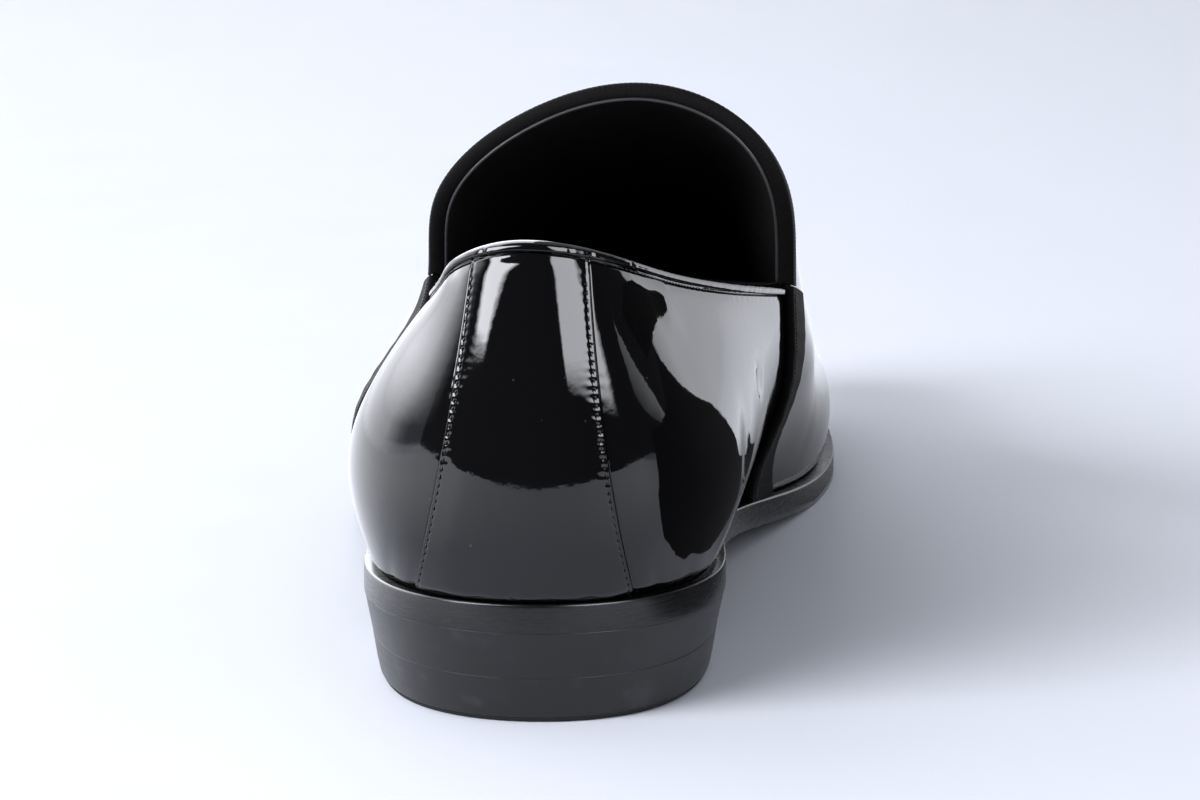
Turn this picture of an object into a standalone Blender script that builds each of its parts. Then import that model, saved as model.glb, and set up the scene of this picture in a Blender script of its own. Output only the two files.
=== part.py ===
"""Left patent leather slip-on loafer, built as a shoemaker puts it together.

Frame: +Y from heel to toe, +X towards the medial (big toe) side, +Z up, floor at z = 0.
Sizes are in millimetres; MM turns them into Blender's metres when a mesh is made.

Everything that follows the foot comes from one function, last_points, which gives the
surface of the last from a short table of cross sections. Walls, overlays and bindings
are forms offset from it.
"""

import math

import bmesh
import bpy
import numpy as np

MM = 0.001
LATERAL, MEDIAL = -1.0, 1.0

# Driving dimensions of the shoe
LAST_LENGTH = 296.0
WALL = 1.6
VAMP_LAP = 0.8
GAP = 0.3
SOLE_THICKNESS = 5.2
SOLE_BEVEL = 0.7
INSOLE_THICKNESS = 2.4
TRIM_THICKNESS = 0.7

# Cross sections of the last from heel back to toe tip. y is the distance from the heel
# back. lat0 to lat3 and med0 to med3 are the distances from the axis to the lateral and
# the medial wall at the first four SECTION_HEIGHTS. ridge_x and ridge_h place the crest.
SECTION_COLUMNS = ("y", "lat0", "lat1", "lat2", "lat3", "med0", "med1", "med2", "med3", "ridge_x", "ridge_h")
SECTIONS = (
    (0.0, 0.0, 0.0, 0.0, 0.0, 0.0, 0.0, 0.0, 0.0, 0.0, 88.0),
    (10.0, 20.5, 23.0, 17.5, 11.0, 20.5, 23.0, 18.5, 13.5, 1.0, 88.0),
    (40.0, 31.5, 35.5, 24.5, 8.5, 30.0, 34.5, 28.5, 22.5, 7.0, 86.5),
    (90.0, 36.0, 39.0, 26.0, 24.5, 27.5, 36.5, 38.0, 40.0, 13.0, 82.0),
    (140.0, 45.0, 47.0, 39.0, 26.0, 29.0, 36.5, 42.5, 35.0, 11.5, 65.5),
    (185.0, 50.0, 50.5, 44.0, 31.5, 37.5, 41.0, 40.0, 33.0, 9.0, 48.5),
    (215.0, 47.5, 48.0, 43.0, 32.0, 41.0, 42.5, 40.0, 33.0, 7.5, 40.5),
    (250.0, 37.5, 38.5, 35.0, 27.0, 37.5, 39.0, 36.5, 29.5, 6.0, 34.5),
    (280.0, 20.5, 21.5, 19.5, 15.0, 27.0, 28.0, 26.0, 21.0, 4.5, 25.5),
    (296.0, -4.0, -4.0, -4.0, -4.0, 4.0, 4.0, 4.0, 4.0, 4.0, 0.0),
)
SECTION_HEIGHTS = (0.0, 0.24, 0.50, 0.75, 0.93, 1.0)
CROWN_LATERAL = 0.58
CROWN_MEDIAL = 0.68

# Top face of the sole along the shoe: heel seat, waist, ball and toe spring
SOLE_LINE_COLUMNS = ("y", "z")
SOLE_LINE = (
    (0.0, 22.2),
    (40.0, 20.4),
    (80.0, 17.6),
    (120.0, 13.2),
    (160.0, 8.2),
    (192.0, 5.2),
    (224.0, 5.1),
    (262.0, 8.6),
    (300.0, 15.0),
)

# Width of the sole's edge outside the upper
SOLE_MARGIN_COLUMNS = ("y", "margin")
SOLE_MARGIN = ((0.0, 0.6), (40.0, 1.6), (80.0, 1.2), (120.0, 1.2), (160.0, 2.6), (200.0, 3.0), (300.0, 2.8))

# Back seam of the heel seen from the side: a shallow bow that is furthest back at
# BACK_BOW_H above the seat and has come forward by BACK_BOW at BACK_TOP_H
BACK_BOW_H = 22.0
BACK_TOP_H = 64.0
BACK_BOW = 7.0
BACK_BOW_REACH = 95.0

# Top edge of the quarters: how much of its drop from the heel back to the notch is done
TOPLINE_BACK_Z = 84.2
TOPLINE_COLUMNS = ("along", "drop")
TOPLINE = {
    LATERAL: ((0.0, 0.0), (0.35, 0.28), (0.7, 0.75), (1.0, 1.0)),
    MEDIAL: ((0.0, 0.0), (0.35, 0.21), (0.7, 0.62), (1.0, 1.0)),
}

# Rear edge of the vamp from the sole up over the notch to the throat on the crest
VAMP_EDGE_COLUMNS = ("height", "y")
VAMP_EDGE = ((0.0, 146.0), (0.25, 120.0), (0.55, 99.5), (0.8, 85.5), (1.0, 83.5))
NOTCH_HEIGHT = {LATERAL: 0.58, MEDIAL: 0.57}
NOTCH_CLEARANCE = 0.9

# Ribbon and rolled edges
SIDE_BAND_WIDTH = 9.0
THROAT_BINDING_WIDTH = 3.2
TOPLINE_BINDING_WIDTH = 1.7
TOPLINE_END = 2.4

# Counter panel: half widths across the heel back at the seat and at the topline. The
# panel lies within COUNTER_REACH of the heel back and takes COUNTER_SHARE of the topline.
COUNTER_THICKNESS = 0.9
COUNTER_FOOT = {LATERAL: 20.0, MEDIAL: 18.5}
COUNTER_TOP = {LATERAL: 9.5, MEDIAL: 10.5}
COUNTER_FLARE = 1.3
COUNTER_REACH = 94.0
COUNTER_SHARE = 0.2

# Heel under the seat
HEEL_LENGTH = 76.0
HEEL_INSET = 0.3
HEEL_SIDE_TAPER = 0.13
HEEL_BACK_TAPER = 0.24
BREAST_HOLLOW = 3.0
LIFT_HEIGHT = 8.4
LIFT_STEP = 0.5

# Mesh density
QUARTER_COLUMNS = 52
QUARTER_ROWS = 8
THROAT_ROWS = 12
VAMP_COLUMNS = 26
SOLE_STATIONS = 48
SOLE_COLUMNS = 4
TRIM_COLUMNS = 4
FINE_STEPS = 400


def spline(knots, values, start_flat=False, end_flat=False):
    """Cubic spline through rows of values. A flat end has no slope, any other no curvature."""
    x = np.asarray(knots, float)
    v = np.asarray(values, float).reshape(len(x), -1)
    n = len(x)
    step = np.diff(x)
    slope = np.diff(v, axis=0) / step[:, None]
    system = np.zeros((n, n))
    right = np.zeros_like(v)
    for i in range(1, n - 1):
        system[i, i - 1 : i + 2] = step[i - 1], 2 * (step[i - 1] + step[i]), step[i]
        right[i] = 6 * (slope[i] - slope[i - 1])
    system[0, 0] = system[-1, -1] = 1.0
    if start_flat:
        system[0, :2] = 2 * step[0], step[0]
        right[0] = 6 * slope[0]
    if end_flat:
        system[-1, -2:] = step[-1], 2 * step[-1]
        right[-1] = -6 * slope[-1]
    bend = np.linalg.solve(system, right)

    def at(q):
        q = np.asarray(q, float)
        i = np.clip(np.searchsorted(x, q, side="right") - 1, 0, n - 2)
        h = step[i][..., None]
        a = (x[i + 1] - q)[..., None]
        b = (q - x[i])[..., None]
        cubic = (bend[i] * a**3 + bend[i + 1] * b**3) / (6 * h)
        line = (v[i] / h - bend[i] * h / 6) * a + (v[i + 1] / h - bend[i + 1] * h / 6) * b
        return cubic + line

    return at


def angle_at(y):
    """Angle 0 at the heel back to pi at the toe tip, so that both ends of the last come out round."""
    return np.arccos(np.clip(1 - 2 * np.asarray(y, float) / LAST_LENGTH, -1, 1))


def station_y(angle):
    return LAST_LENGTH * (1 - np.cos(angle)) / 2


SECTION = dict(zip(SECTION_COLUMNS, np.array(SECTIONS).T))
SECTION_ANGLES = angle_at(SECTION["y"])
LATERAL_WALL = np.stack([SECTION[f"lat{i}"] for i in range(4)], 1)
MEDIAL_WALL = np.stack([SECTION[f"med{i}"] for i in range(4)], 1)
SECTION_T = np.linspace(0.0, 1.0, len(SECTION_HEIGHTS))
ACROSS_T = np.concatenate([SECTION_T, 2 - SECTION_T[-2::-1]])

half_widths_at = spline(SECTION_ANGLES, (MEDIAL_WALL + LATERAL_WALL) / 2)
centres_at = spline(SECTION_ANGLES, (MEDIAL_WALL - LATERAL_WALL) / 2, start_flat=True, end_flat=True)
crest_x_at = spline(SECTION_ANGLES, SECTION["ridge_x"], start_flat=True, end_flat=True)
crest_h_at = spline(SECTION_ANGLES, SECTION["ridge_h"], start_flat=True)
section_height_at = spline(SECTION_T, SECTION_HEIGHTS, end_flat=True)
section_weights_at = spline(ACROSS_T, np.eye(len(ACROSS_T)))
sole_line_at = spline(*np.array(SOLE_LINE).T)
sole_margin_at = spline(*np.array(SOLE_MARGIN).T)
lateral_drop_at = spline(*np.array(TOPLINE[LATERAL]).T, start_flat=True)
medial_drop_at = spline(*np.array(TOPLINE[MEDIAL]).T, start_flat=True)
vamp_edge_at = spline(*np.array(VAMP_EDGE).T, end_flat=True)


def sole_top(y):
    return sole_line_at(y)[..., 0]


def sole_bottom(y):
    """Flat on the floor under the ball, and curved up to the toe and to the heel seat."""
    return np.maximum(sole_top(y) - SOLE_THICKNESS, 0.0)


def height_of(t):
    return section_height_at(t)[..., 0]


def t_of(height):
    fine = np.linspace(0, 1, FINE_STEPS + 1)
    return np.interp(height, height_of(fine), fine)


def crest_height(angle):
    return crest_h_at(angle)[..., 0]


def back_bow(height_mm, y):
    """How far the heel back comes forward at a height above the seat, fading out along the shoe."""
    fade = np.clip(1 - y / BACK_BOW_REACH, 0, 1)
    fade = fade * fade * (3 - 2 * fade)
    return BACK_BOW * ((height_mm - BACK_BOW_H) / (BACK_TOP_H - BACK_BOW_H)) ** 2 * fade


def bare_last(angle, t, side):
    """Points of the last. t is 0 at the feather edge and 1 on the crest."""
    angle, t, side = np.broadcast_arrays(np.asarray(angle, float), np.asarray(t, float), side)
    half, centre = half_widths_at(angle), centres_at(angle)
    crest = crest_x_at(angle)
    near = centre + side[..., None] * half
    far = centre - side[..., None] * half
    on_lateral = side[..., None] < 0
    near_crown = crest + np.where(on_lateral, CROWN_LATERAL, CROWN_MEDIAL) * (near[..., 3:] - crest)
    far_crown = crest + np.where(on_lateral, CROWN_MEDIAL, CROWN_LATERAL) * (far[..., 3:] - crest)
    across = np.concatenate([near, near_crown, crest, far_crown, far[..., ::-1]], -1)
    x = (section_weights_at(t) * across).sum(-1)
    height = height_of(t) * crest_height(angle)
    y = station_y(angle)
    return np.stack([x, y + back_bow(height, y), sole_top(y) + height], -1)


def last_points(angle, t, side, offset=0.0):
    """The last, or a form larger or smaller than it by offset along its normal."""
    angle, t, side, offset = np.broadcast_arrays(np.asarray(angle, float), np.asarray(t, float), side, offset)
    nudge = 2e-3
    near_angle = np.clip(angle, 4 * nudge, math.pi - 4 * nudge)
    near_t = np.clip(t, nudge, 1 - nudge)
    along = bare_last(near_angle + nudge, near_t, side) - bare_last(near_angle - nudge, near_t, side)
    up = bare_last(near_angle, near_t + nudge, side) - bare_last(near_angle, near_t - nudge, side)
    normal = np.cross(along, up) * side[..., None]
    normal /= np.linalg.norm(normal, axis=-1, keepdims=True)
    normal[(angle <= 0) | (angle >= math.pi), 0] = 0.0
    points = bare_last(angle, t, side) + normal * offset[..., None]
    on_feather = t <= 0
    points[on_feather, 2] = sole_top(points[on_feather, 1]) + GAP
    return points


def angle_per_mm(angle, t, side):
    """Turn of the station angle that moves a point by one millimetre along the shoe."""
    nudge = 1e-3
    moved = bare_last(angle + nudge, t, side) - bare_last(angle - nudge, t, side)
    return 2 * nudge / np.linalg.norm(moved, axis=-1)


def t_per_mm(angle, t, side):
    """Change of t that moves a point by one millimetre up the wall."""
    nudge = 1e-3
    moved = bare_last(angle, t + nudge, side) - bare_last(angle, t - nudge, side)
    return 2 * nudge / np.linalg.norm(moved, axis=-1)


def vamp_edge(t):
    """Station angle of the vamp's rear edge at a height up the wall."""
    return angle_at(vamp_edge_at(height_of(t))[..., 0])


def notch_t(side):
    return t_of(NOTCH_HEIGHT[side])


def quarter_place(u, level):
    """Angle, t and side on the quarters. u runs -1 to 1 round the heel, level 0 to 1 up to the topline."""
    side = np.where(u < 0, LATERAL, MEDIAL)
    end_t = np.where(u < 0, notch_t(LATERAL), notch_t(MEDIAL))
    end_angle = vamp_edge(end_t)
    end_z = sole_top(station_y(end_angle)) + height_of(end_t) * crest_height(end_angle)
    drop = np.where(u < 0, lateral_drop_at(np.abs(u))[..., 0], medial_drop_at(np.abs(u))[..., 0])
    top_z = TOPLINE_BACK_Z + (end_z - TOPLINE_BACK_Z) * drop
    top_angle = np.abs(u) * end_angle
    top_t = t_of((top_z - sole_top(station_y(top_angle))) / crest_height(top_angle))
    return np.abs(u) * vamp_edge(level * end_t), level * top_t, side


def wing_rows(side):
    """Heights of the rows from the feather edge up to the notch."""
    return np.linspace(0, notch_t(side), QUARTER_ROWS + 1)


def throat_rows(side):
    """Heights of the rows from the notch up to the crest."""
    return np.linspace(notch_t(side), 1, THROAT_ROWS + 1)


def over_instep(rows):
    """One column of heights and sides, up the lateral wall and down the medial wall."""
    t = np.concatenate([rows[0], rows[1][-2::-1]])[:, None]
    return t, np.where(np.arange(len(t)) < len(rows[0]), LATERAL, MEDIAL)[:, None]


class Body:
    """Vertices and faces of one closed solid."""

    def __init__(self):
        self.points = []
        self.faces = []

    def put(self, points):
        points = np.asarray(points, float)
        start = len(self.points)
        self.points.extend(points.reshape(-1, 3))
        return np.arange(start, len(self.points)).reshape(points.shape[:-1])

    def skin(self, grid):
        for i in range(grid.shape[0] - 1):
            for j in range(grid.shape[1] - 1):
                self.faces.append((grid[i, j], grid[i + 1, j], grid[i + 1, j + 1], grid[i, j + 1]))

    def join(self, line, other):
        self.skin(np.stack([line, other]))

    def fan(self, line, tip):
        for a, b in zip(line[:-1], line[1:]):
            self.faces.append((a, b, tip))


def rim(grid):
    """Boundary of a grid as a closed run."""
    return np.concatenate([grid[0], grid[1:, -1], grid[-1, -2::-1], grid[-2::-1, 0]])


def slab(layers):
    """Solid between a first and a last grid, its side walls passing through any rims in between."""
    body = Body()
    first, last = body.put(layers[0]), body.put(layers[-1])
    body.skin(first)
    body.skin(last)
    runs = [rim(first)] + [body.put(layer) for layer in layers[1:-1]] + [rim(last)]
    for upper, lower in zip(runs[:-1], runs[1:]):
        body.join(upper, lower)
    return body


def channel(sections):
    """Solid of U-shaped sections with eight points each, closed at both ends."""
    body = Body()
    grid = body.put(sections)
    body.skin(np.concatenate([grid, grid[:, :1]], 1))
    for end in (grid[0], grid[-1]):
        body.faces.append((end[0], end[1], end[2], end[7]))
        body.faces.append((end[7], end[2], end[3], end[6]))
        body.faces.append((end[6], end[3], end[4], end[5]))
    return body


def make_upper():
    """Hollow shell of vamp and quarters, the vamp one lap higher, open above and below."""
    body = Body()
    u, level = np.meshgrid(
        np.linspace(-1, 1, QUARTER_COLUMNS + 1), np.linspace(0, 1, QUARTER_ROWS + 1), indexing="ij"
    )
    place = quarter_place(u, level)
    quarter_out = body.put(last_points(*place, 0.0))
    quarter_in = body.put(last_points(*place, -WALL))

    t, side = over_instep(
        [np.concatenate([wing_rows(side), throat_rows(side)[1:]]) for side in (LATERAL, MEDIAL)]
    )
    edge = vamp_edge(t)
    angle = edge + (math.pi - edge) * np.linspace(0, 1, VAMP_COLUMNS + 1)[:-1]
    vamp_out = body.put(last_points(angle, t, side, VAMP_LAP))
    vamp_in = body.put(last_points(angle, t, side, -WALL))
    tip_out = body.put(last_points(math.pi, 0.0, MEDIAL, VAMP_LAP))
    tip_in = body.put(last_points(math.pi, 0.0, MEDIAL, -WALL))

    for grid in (quarter_out, quarter_in, vamp_out, vamp_in):
        body.skin(grid)
    body.fan(vamp_out[:, -1], tip_out)
    body.fan(vamp_in[:, -1], tip_in)
    body.join(quarter_out[:, -1], quarter_in[:, -1])
    body.join(quarter_out[:, 0], quarter_in[:, 0])
    throat = slice(QUARTER_ROWS, len(t) - QUARTER_ROWS)
    body.join(vamp_out[throat, 0], vamp_in[throat, 0])
    for end, out, inside in (
        (0, vamp_out, vamp_in),
        (-1, vamp_out[::-1], vamp_in[::-1]),
    ):
        lap = out[: QUARTER_ROWS + 1, 0]
        body.join(quarter_out[end], lap)
        body.faces.append((quarter_out[end, -1], lap[-1], inside[QUARTER_ROWS, 0]))
        body.faces.append((quarter_out[end, 0], lap[0], inside[0, 0]))
        body.join(np.append(out[0], tip_out), np.append(inside[0], tip_in))
    return body


def make_counter():
    """Second layer over the heel back, from the seat up to the topline binding."""
    columns = np.linspace(-1, 1, 4 * TRIM_COLUMNS + 1)[None, :]
    level = np.linspace(0, 1, QUARTER_ROWS + 1)[:, None]
    side = np.where(columns < 0, LATERAL, MEDIAL) + 0 * level
    _, back_t, _ = quarter_place(columns * COUNTER_SHARE, np.ones_like(columns))
    t = level * (back_t - (TOPLINE_BINDING_WIDTH + GAP) * t_per_mm(columns * 0, back_t, MEDIAL))
    fine = np.linspace(0, angle_at(COUNTER_REACH), FINE_STEPS + 1)
    angle = np.zeros_like(t)
    for i, j in np.ndindex(t.shape):
        s = side[i, j]
        half = COUNTER_TOP[s] + (COUNTER_FOOT[s] - COUNTER_TOP[s]) * (1 - level[i, 0]) ** COUNTER_FLARE
        across = np.abs(bare_last(fine, t[i, j], s)[:, 0])
        angle[i, j] = abs(columns[0, j]) * np.interp(half, across, fine)
    inner = last_points(angle, t, side, GAP)
    outer = last_points(angle, t, side, GAP + COUNTER_THICKNESS)
    return slab([outer, inner])


def edge_skew(t, side):
    """Sine of the angle between the vamp's rear edge and the length of the shoe."""
    nudge = 1e-3
    near = np.clip(t, nudge, 1 - nudge)
    rise = bare_last(vamp_edge(near + nudge), near + nudge, side)
    rise = rise - bare_last(vamp_edge(near - nudge), near - nudge, side)
    along = bare_last(vamp_edge(near) + nudge, near, side) - bare_last(vamp_edge(near) - nudge, near, side)
    lengths = np.linalg.norm(rise, axis=-1) * np.linalg.norm(along, axis=-1)
    return np.linalg.norm(np.cross(rise, along), axis=-1) / lengths


def make_side_band(side):
    """Ribbon over the vamp's rear edge from the notch down to the sole."""
    top_t = notch_t(side)
    above = (NOTCH_CLEARANCE - GAP) * t_per_mm(vamp_edge(top_t), top_t, side)
    t = np.append(wing_rows(side), top_t + above)[:, None]
    reach = np.linspace(0, SIDE_BAND_WIDTH, TRIM_COLUMNS + 1)[None, :] / edge_skew(t, side)
    angle = vamp_edge(t) + reach * angle_per_mm(vamp_edge(t), t, side)
    inner = last_points(angle, t, side, VAMP_LAP + GAP)
    outer = last_points(angle, t, side, VAMP_LAP + GAP + TRIM_THICKNESS)
    return slab([outer, inner])


def folded_section(width, outside, inside):
    """Corners of a strip folded over an edge: reach from the edge and offset from the last."""
    over = -GAP - TRIM_THICKNESS
    corners = (
        (width, outside),
        (width, outside + TRIM_THICKNESS),
        (over, outside + TRIM_THICKNESS),
        (over, inside - TRIM_THICKNESS),
        (width, inside - TRIM_THICKNESS),
        (width, inside),
        (-GAP, inside),
        (-GAP, outside),
    )
    return np.array(corners).T


def make_throat_binding():
    """Ribbon folded over the vamp's edge across the instep, from notch to notch."""
    reach, offset = folded_section(THROAT_BINDING_WIDTH, VAMP_LAP + GAP, -WALL - GAP)
    rows = [throat_rows(side) for side in (LATERAL, MEDIAL)]
    for run, side in zip(rows, (LATERAL, MEDIAL)):
        run[0] += NOTCH_CLEARANCE * t_per_mm(vamp_edge(run[0]), run[0], side)
    t, side = over_instep(rows)
    angle = vamp_edge(t) + reach * angle_per_mm(vamp_edge(t), t, side)
    return channel(last_points(angle, t, side, offset))


def make_topline_binding():
    """Rolled strip folded over the top edge of the quarters."""
    reach, offset = folded_section(TOPLINE_BINDING_WIDTH, GAP, -WALL - GAP)
    edge = last_points(*quarter_place(np.linspace(-1, 1, FINE_STEPS + 1), np.ones(FINE_STEPS + 1)))
    length = np.linalg.norm(np.diff(edge, axis=0), axis=1).sum()
    end = 1 - 2 * TOPLINE_END / length
    u = np.linspace(-end, end, QUARTER_COLUMNS + 1)[:, None]
    angle, t, side = quarter_place(u, np.ones_like(u))
    t = t - reach * t_per_mm(angle, t, side)
    return channel(last_points(angle, t, side, offset))


def sole_outline(angle, side, margin):
    """Plan of the shoe at the feather edge moved outwards by a margin, and its outward directions."""
    nudge = 2e-3
    near = np.clip(angle, 2 * nudge, math.pi - 2 * nudge)
    along = (bare_last(near + nudge, 0.0, side) - bare_last(near - nudge, 0.0, side))[..., :2]
    normal = np.stack([along[..., 1], -along[..., 0]], -1) * side
    normal /= np.linalg.norm(normal, axis=-1, keepdims=True)
    normal[(angle <= 0) | (angle >= math.pi), 0] = 0.0
    return bare_last(angle, 0.0, side)[..., :2] + normal * margin[..., None], normal


def ladder(lateral, medial):
    """Plan grid with evenly spaced points between the lateral and the medial outline."""
    share = np.linspace(0, 1, SOLE_COLUMNS + 1)[None, :, None]
    return lateral[:, None] * (1 - share) + medial[:, None] * share


def raised(plan, height):
    return np.concatenate([plan, np.broadcast_to(height, plan.shape[:-1])[..., None]], -1)


def edge_margin(angle):
    return sole_margin_at(station_y(angle))[..., 0]


def make_outsole():
    """Sole from heel to toe with bevelled edges."""
    angle = np.linspace(0, math.pi, SOLE_STATIONS + 1)

    def plan(inset):
        margin = edge_margin(angle) - inset
        return ladder(sole_outline(angle, LATERAL, margin)[0], sole_outline(angle, MEDIAL, margin)[0])

    inner, edge = plan(SOLE_BEVEL), plan(0.0)
    top = raised(inner, sole_top(inner[..., 1]))
    under_top = raised(edge, sole_top(edge[..., 1]) - SOLE_BEVEL)
    over_bottom = raised(edge, sole_bottom(edge[..., 1]) + SOLE_BEVEL)
    bottom = raised(inner, sole_bottom(inner[..., 1]))
    return slab([top, rim(under_top), rim(over_bottom), bottom])


def make_insole():
    """Board and sock between the walls, resting on the sole."""
    angle = np.linspace(0, math.pi, SOLE_STATIONS + 1)
    margin = np.full_like(angle, -WALL - 2 * GAP)
    plan = ladder(sole_outline(angle, LATERAL, margin)[0], sole_outline(angle, MEDIAL, margin)[0])
    low = sole_top(plan[..., 1]) + GAP
    return slab([raised(plan, low + INSOLE_THICKNESS), raised(plan, low)])


def heel_plan(depth, step):
    """Plan of the heel at a depth below the seat, its walls tapering in and its breast hollowed."""
    angle = np.linspace(0, angle_at(HEEL_LENGTH), SOLE_STATIONS // 2 + 1)
    sides = []
    for side in (LATERAL, MEDIAL):
        _, normal = sole_outline(angle, side, edge_margin(angle))
        taper = HEEL_SIDE_TAPER * normal[:, 0] ** 2 + HEEL_BACK_TAPER * normal[:, 1] ** 2
        inset = HEEL_INSET + step + depth * taper
        sides.append(sole_outline(angle, side, edge_margin(angle) - inset)[0])
    plan = ladder(*sides)
    across = np.linspace(-1, 1, SOLE_COLUMNS + 1)
    plan[:, :, 1] -= BREAST_HOLLOW * (1 - across**2) * np.linspace(0, 1, len(angle))[:, None] ** 4
    return plan


def make_heel_stack():
    """Layers between the heel seat and the top lift."""
    seat = sole_bottom(0.0)
    top, bottom = heel_plan(0.0, 0.0), heel_plan(seat - LIFT_HEIGHT, 0.0)
    return slab([raised(top, sole_bottom(top[..., 1]) - GAP), raised(bottom, LIFT_HEIGHT + GAP)])


def make_top_lift():
    """Wearing layer of the heel, flat on the floor."""
    seat = sole_bottom(0.0)
    top, bottom = heel_plan(seat - LIFT_HEIGHT, LIFT_STEP), heel_plan(seat, LIFT_STEP)
    return slab([raised(top, LIFT_HEIGHT), raised(bottom, 0.0)])


def material(name, colour, roughness):
    made = bpy.data.materials.new(name)
    made.use_nodes = True
    shader = made.node_tree.nodes["Principled BSDF"]
    shader.inputs["Base Color"].default_value = (*colour, 1.0)
    shader.inputs["Roughness"].default_value = roughness
    shader.inputs["Metallic"].default_value = 0.0
    return made


def add_object(name, body, centre, made_of):
    points = (np.array(body.points) - centre) * MM
    mesh = bpy.data.meshes.new(name)
    build = bmesh.new()
    corners = [build.verts.new(p) for p in points]
    for face in body.faces:
        build.faces.new([corners[i] for i in face])
    bmesh.ops.remove_doubles(build, verts=build.verts, dist=1e-6)
    bmesh.ops.recalc_face_normals(build, faces=build.faces)
    build.to_mesh(mesh)
    build.free()
    mesh.materials.append(made_of)
    bpy.context.scene.collection.objects.link(bpy.data.objects.new(name, mesh))


def main():
    for old in list(bpy.data.objects):
        bpy.data.objects.remove(old)
    patent = (0.006, 0.006, 0.007)
    ribbon = (0.012, 0.012, 0.014)
    leather = (0.014, 0.013, 0.013)
    bodies = (
        ("upper", make_upper(), material("patent_upper", patent, 0.06)),
        ("back_counter", make_counter(), material("patent_counter", patent, 0.06)),
        ("side_band_medial", make_side_band(MEDIAL), material("grosgrain_medial", ribbon, 0.6)),
        ("side_band_lateral", make_side_band(LATERAL), material("grosgrain_lateral", ribbon, 0.6)),
        ("throat_binding", make_throat_binding(), material("grosgrain_throat", ribbon, 0.6)),
        ("topline_binding", make_topline_binding(), material("patent_topline", patent, 0.12)),
        ("insole", make_insole(), material("sock_leather", leather, 0.5)),
        ("outsole", make_outsole(), material("sole_leather", leather, 0.35)),
        ("heel_stack", make_heel_stack(), material("heel_leather", leather, 0.35)),
        ("heel_top_lift", make_top_lift(), material("lift_rubber", ribbon, 0.5)),
    )
    every = np.concatenate([np.array(body.points) for _, body, _ in bodies])
    low, high = every.min(0), every.max(0)
    centre = np.array([(low[0] + high[0]) / 2, (low[1] + high[1]) / 2, low[2]])
    for name, body, made_of in bodies:
        add_object(name, body, centre, made_of)


main()
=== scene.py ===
"""Looks of the left patent leather loafer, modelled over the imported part's own last.

Sizes are in millimetres in the shoe's own axes: x from the heel back's middle towards the
medial side, y from the heel back to the toe, z up from the floor. to_frame turns them into
the frame's metres.
"""

import math

import bmesh
import bpy
import numpy as np
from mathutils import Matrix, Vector


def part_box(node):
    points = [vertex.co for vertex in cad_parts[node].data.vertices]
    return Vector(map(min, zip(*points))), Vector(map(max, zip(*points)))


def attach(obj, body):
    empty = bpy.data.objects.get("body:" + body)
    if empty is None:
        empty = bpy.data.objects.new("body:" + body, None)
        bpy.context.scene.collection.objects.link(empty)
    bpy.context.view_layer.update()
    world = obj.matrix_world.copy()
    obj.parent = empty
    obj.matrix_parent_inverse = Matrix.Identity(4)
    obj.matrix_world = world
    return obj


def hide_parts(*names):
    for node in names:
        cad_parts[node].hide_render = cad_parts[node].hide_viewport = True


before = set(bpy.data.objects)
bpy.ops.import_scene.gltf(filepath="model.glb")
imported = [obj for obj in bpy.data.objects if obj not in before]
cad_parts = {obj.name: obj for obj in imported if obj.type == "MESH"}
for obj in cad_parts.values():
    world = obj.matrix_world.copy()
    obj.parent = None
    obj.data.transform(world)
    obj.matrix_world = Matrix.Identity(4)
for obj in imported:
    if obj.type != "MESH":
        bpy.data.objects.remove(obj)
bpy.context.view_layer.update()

MM = 0.001
LATERAL, MEDIAL = -1.0, 1.0

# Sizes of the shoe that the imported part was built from
LAST_LENGTH = 296.0
WALL = 1.6
VAMP_LAP = 0.8
GAP = 0.3
SOLE_THICKNESS = 5.2
SOLE_STATIONS = 48

SECTION_COLUMNS = ("y", "lat0", "lat1", "lat2", "lat3", "med0", "med1", "med2", "med3", "ridge_x", "ridge_h")
SECTIONS = (
    (0, 0, 0, 0, 0, 0, 0, 0, 0, 0, 88),
    (10, 20.5, 23, 17.5, 11, 20.5, 23, 18.5, 13.5, 1, 88),
    (40, 31.5, 35.5, 24.5, 8.5, 30, 34.5, 28.5, 22.5, 7, 86.5),
    (90, 36, 39, 26, 24.5, 27.5, 36.5, 38, 40, 13, 82),
    (140, 45, 47, 39, 26, 29, 36.5, 42.5, 35, 11.5, 65.5),
    (185, 50, 50.5, 44, 31.5, 37.5, 41, 40, 33, 9, 48.5),
    (215, 47.5, 48, 43, 32, 41, 42.5, 40, 33, 7.5, 40.5),
    (250, 37.5, 38.5, 35, 27, 37.5, 39, 36.5, 29.5, 6, 34.5),
    (280, 20.5, 21.5, 19.5, 15, 27, 28, 26, 21, 4.5, 25.5),
    (296, -4, -4, -4, -4, 4, 4, 4, 4, 4, 0),
)
SECTION_HEIGHTS = (0.0, 0.24, 0.50, 0.75, 0.93, 1.0)
CROWN_LATERAL = 0.58
CROWN_MEDIAL = 0.68

# y and height of the sole's top face, and y and width of its edge outside the upper
SOLE_LINE = (
    (0, 22.2),
    (40, 20.4),
    (80, 17.6),
    (120, 13.2),
    (160, 8.2),
    (192, 5.2),
    (224, 5.1),
    (262, 8.6),
    (300, 15),
)
SOLE_MARGIN = ((0, 0.6), (40, 1.6), (80, 1.2), (120, 1.2), (160, 2.6), (200, 3), (300, 2.8))
BACK_BOW_H = 22.0
BACK_TOP_H = 64.0
BACK_BOW = 7.0
BACK_BOW_REACH = 95.0

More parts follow.
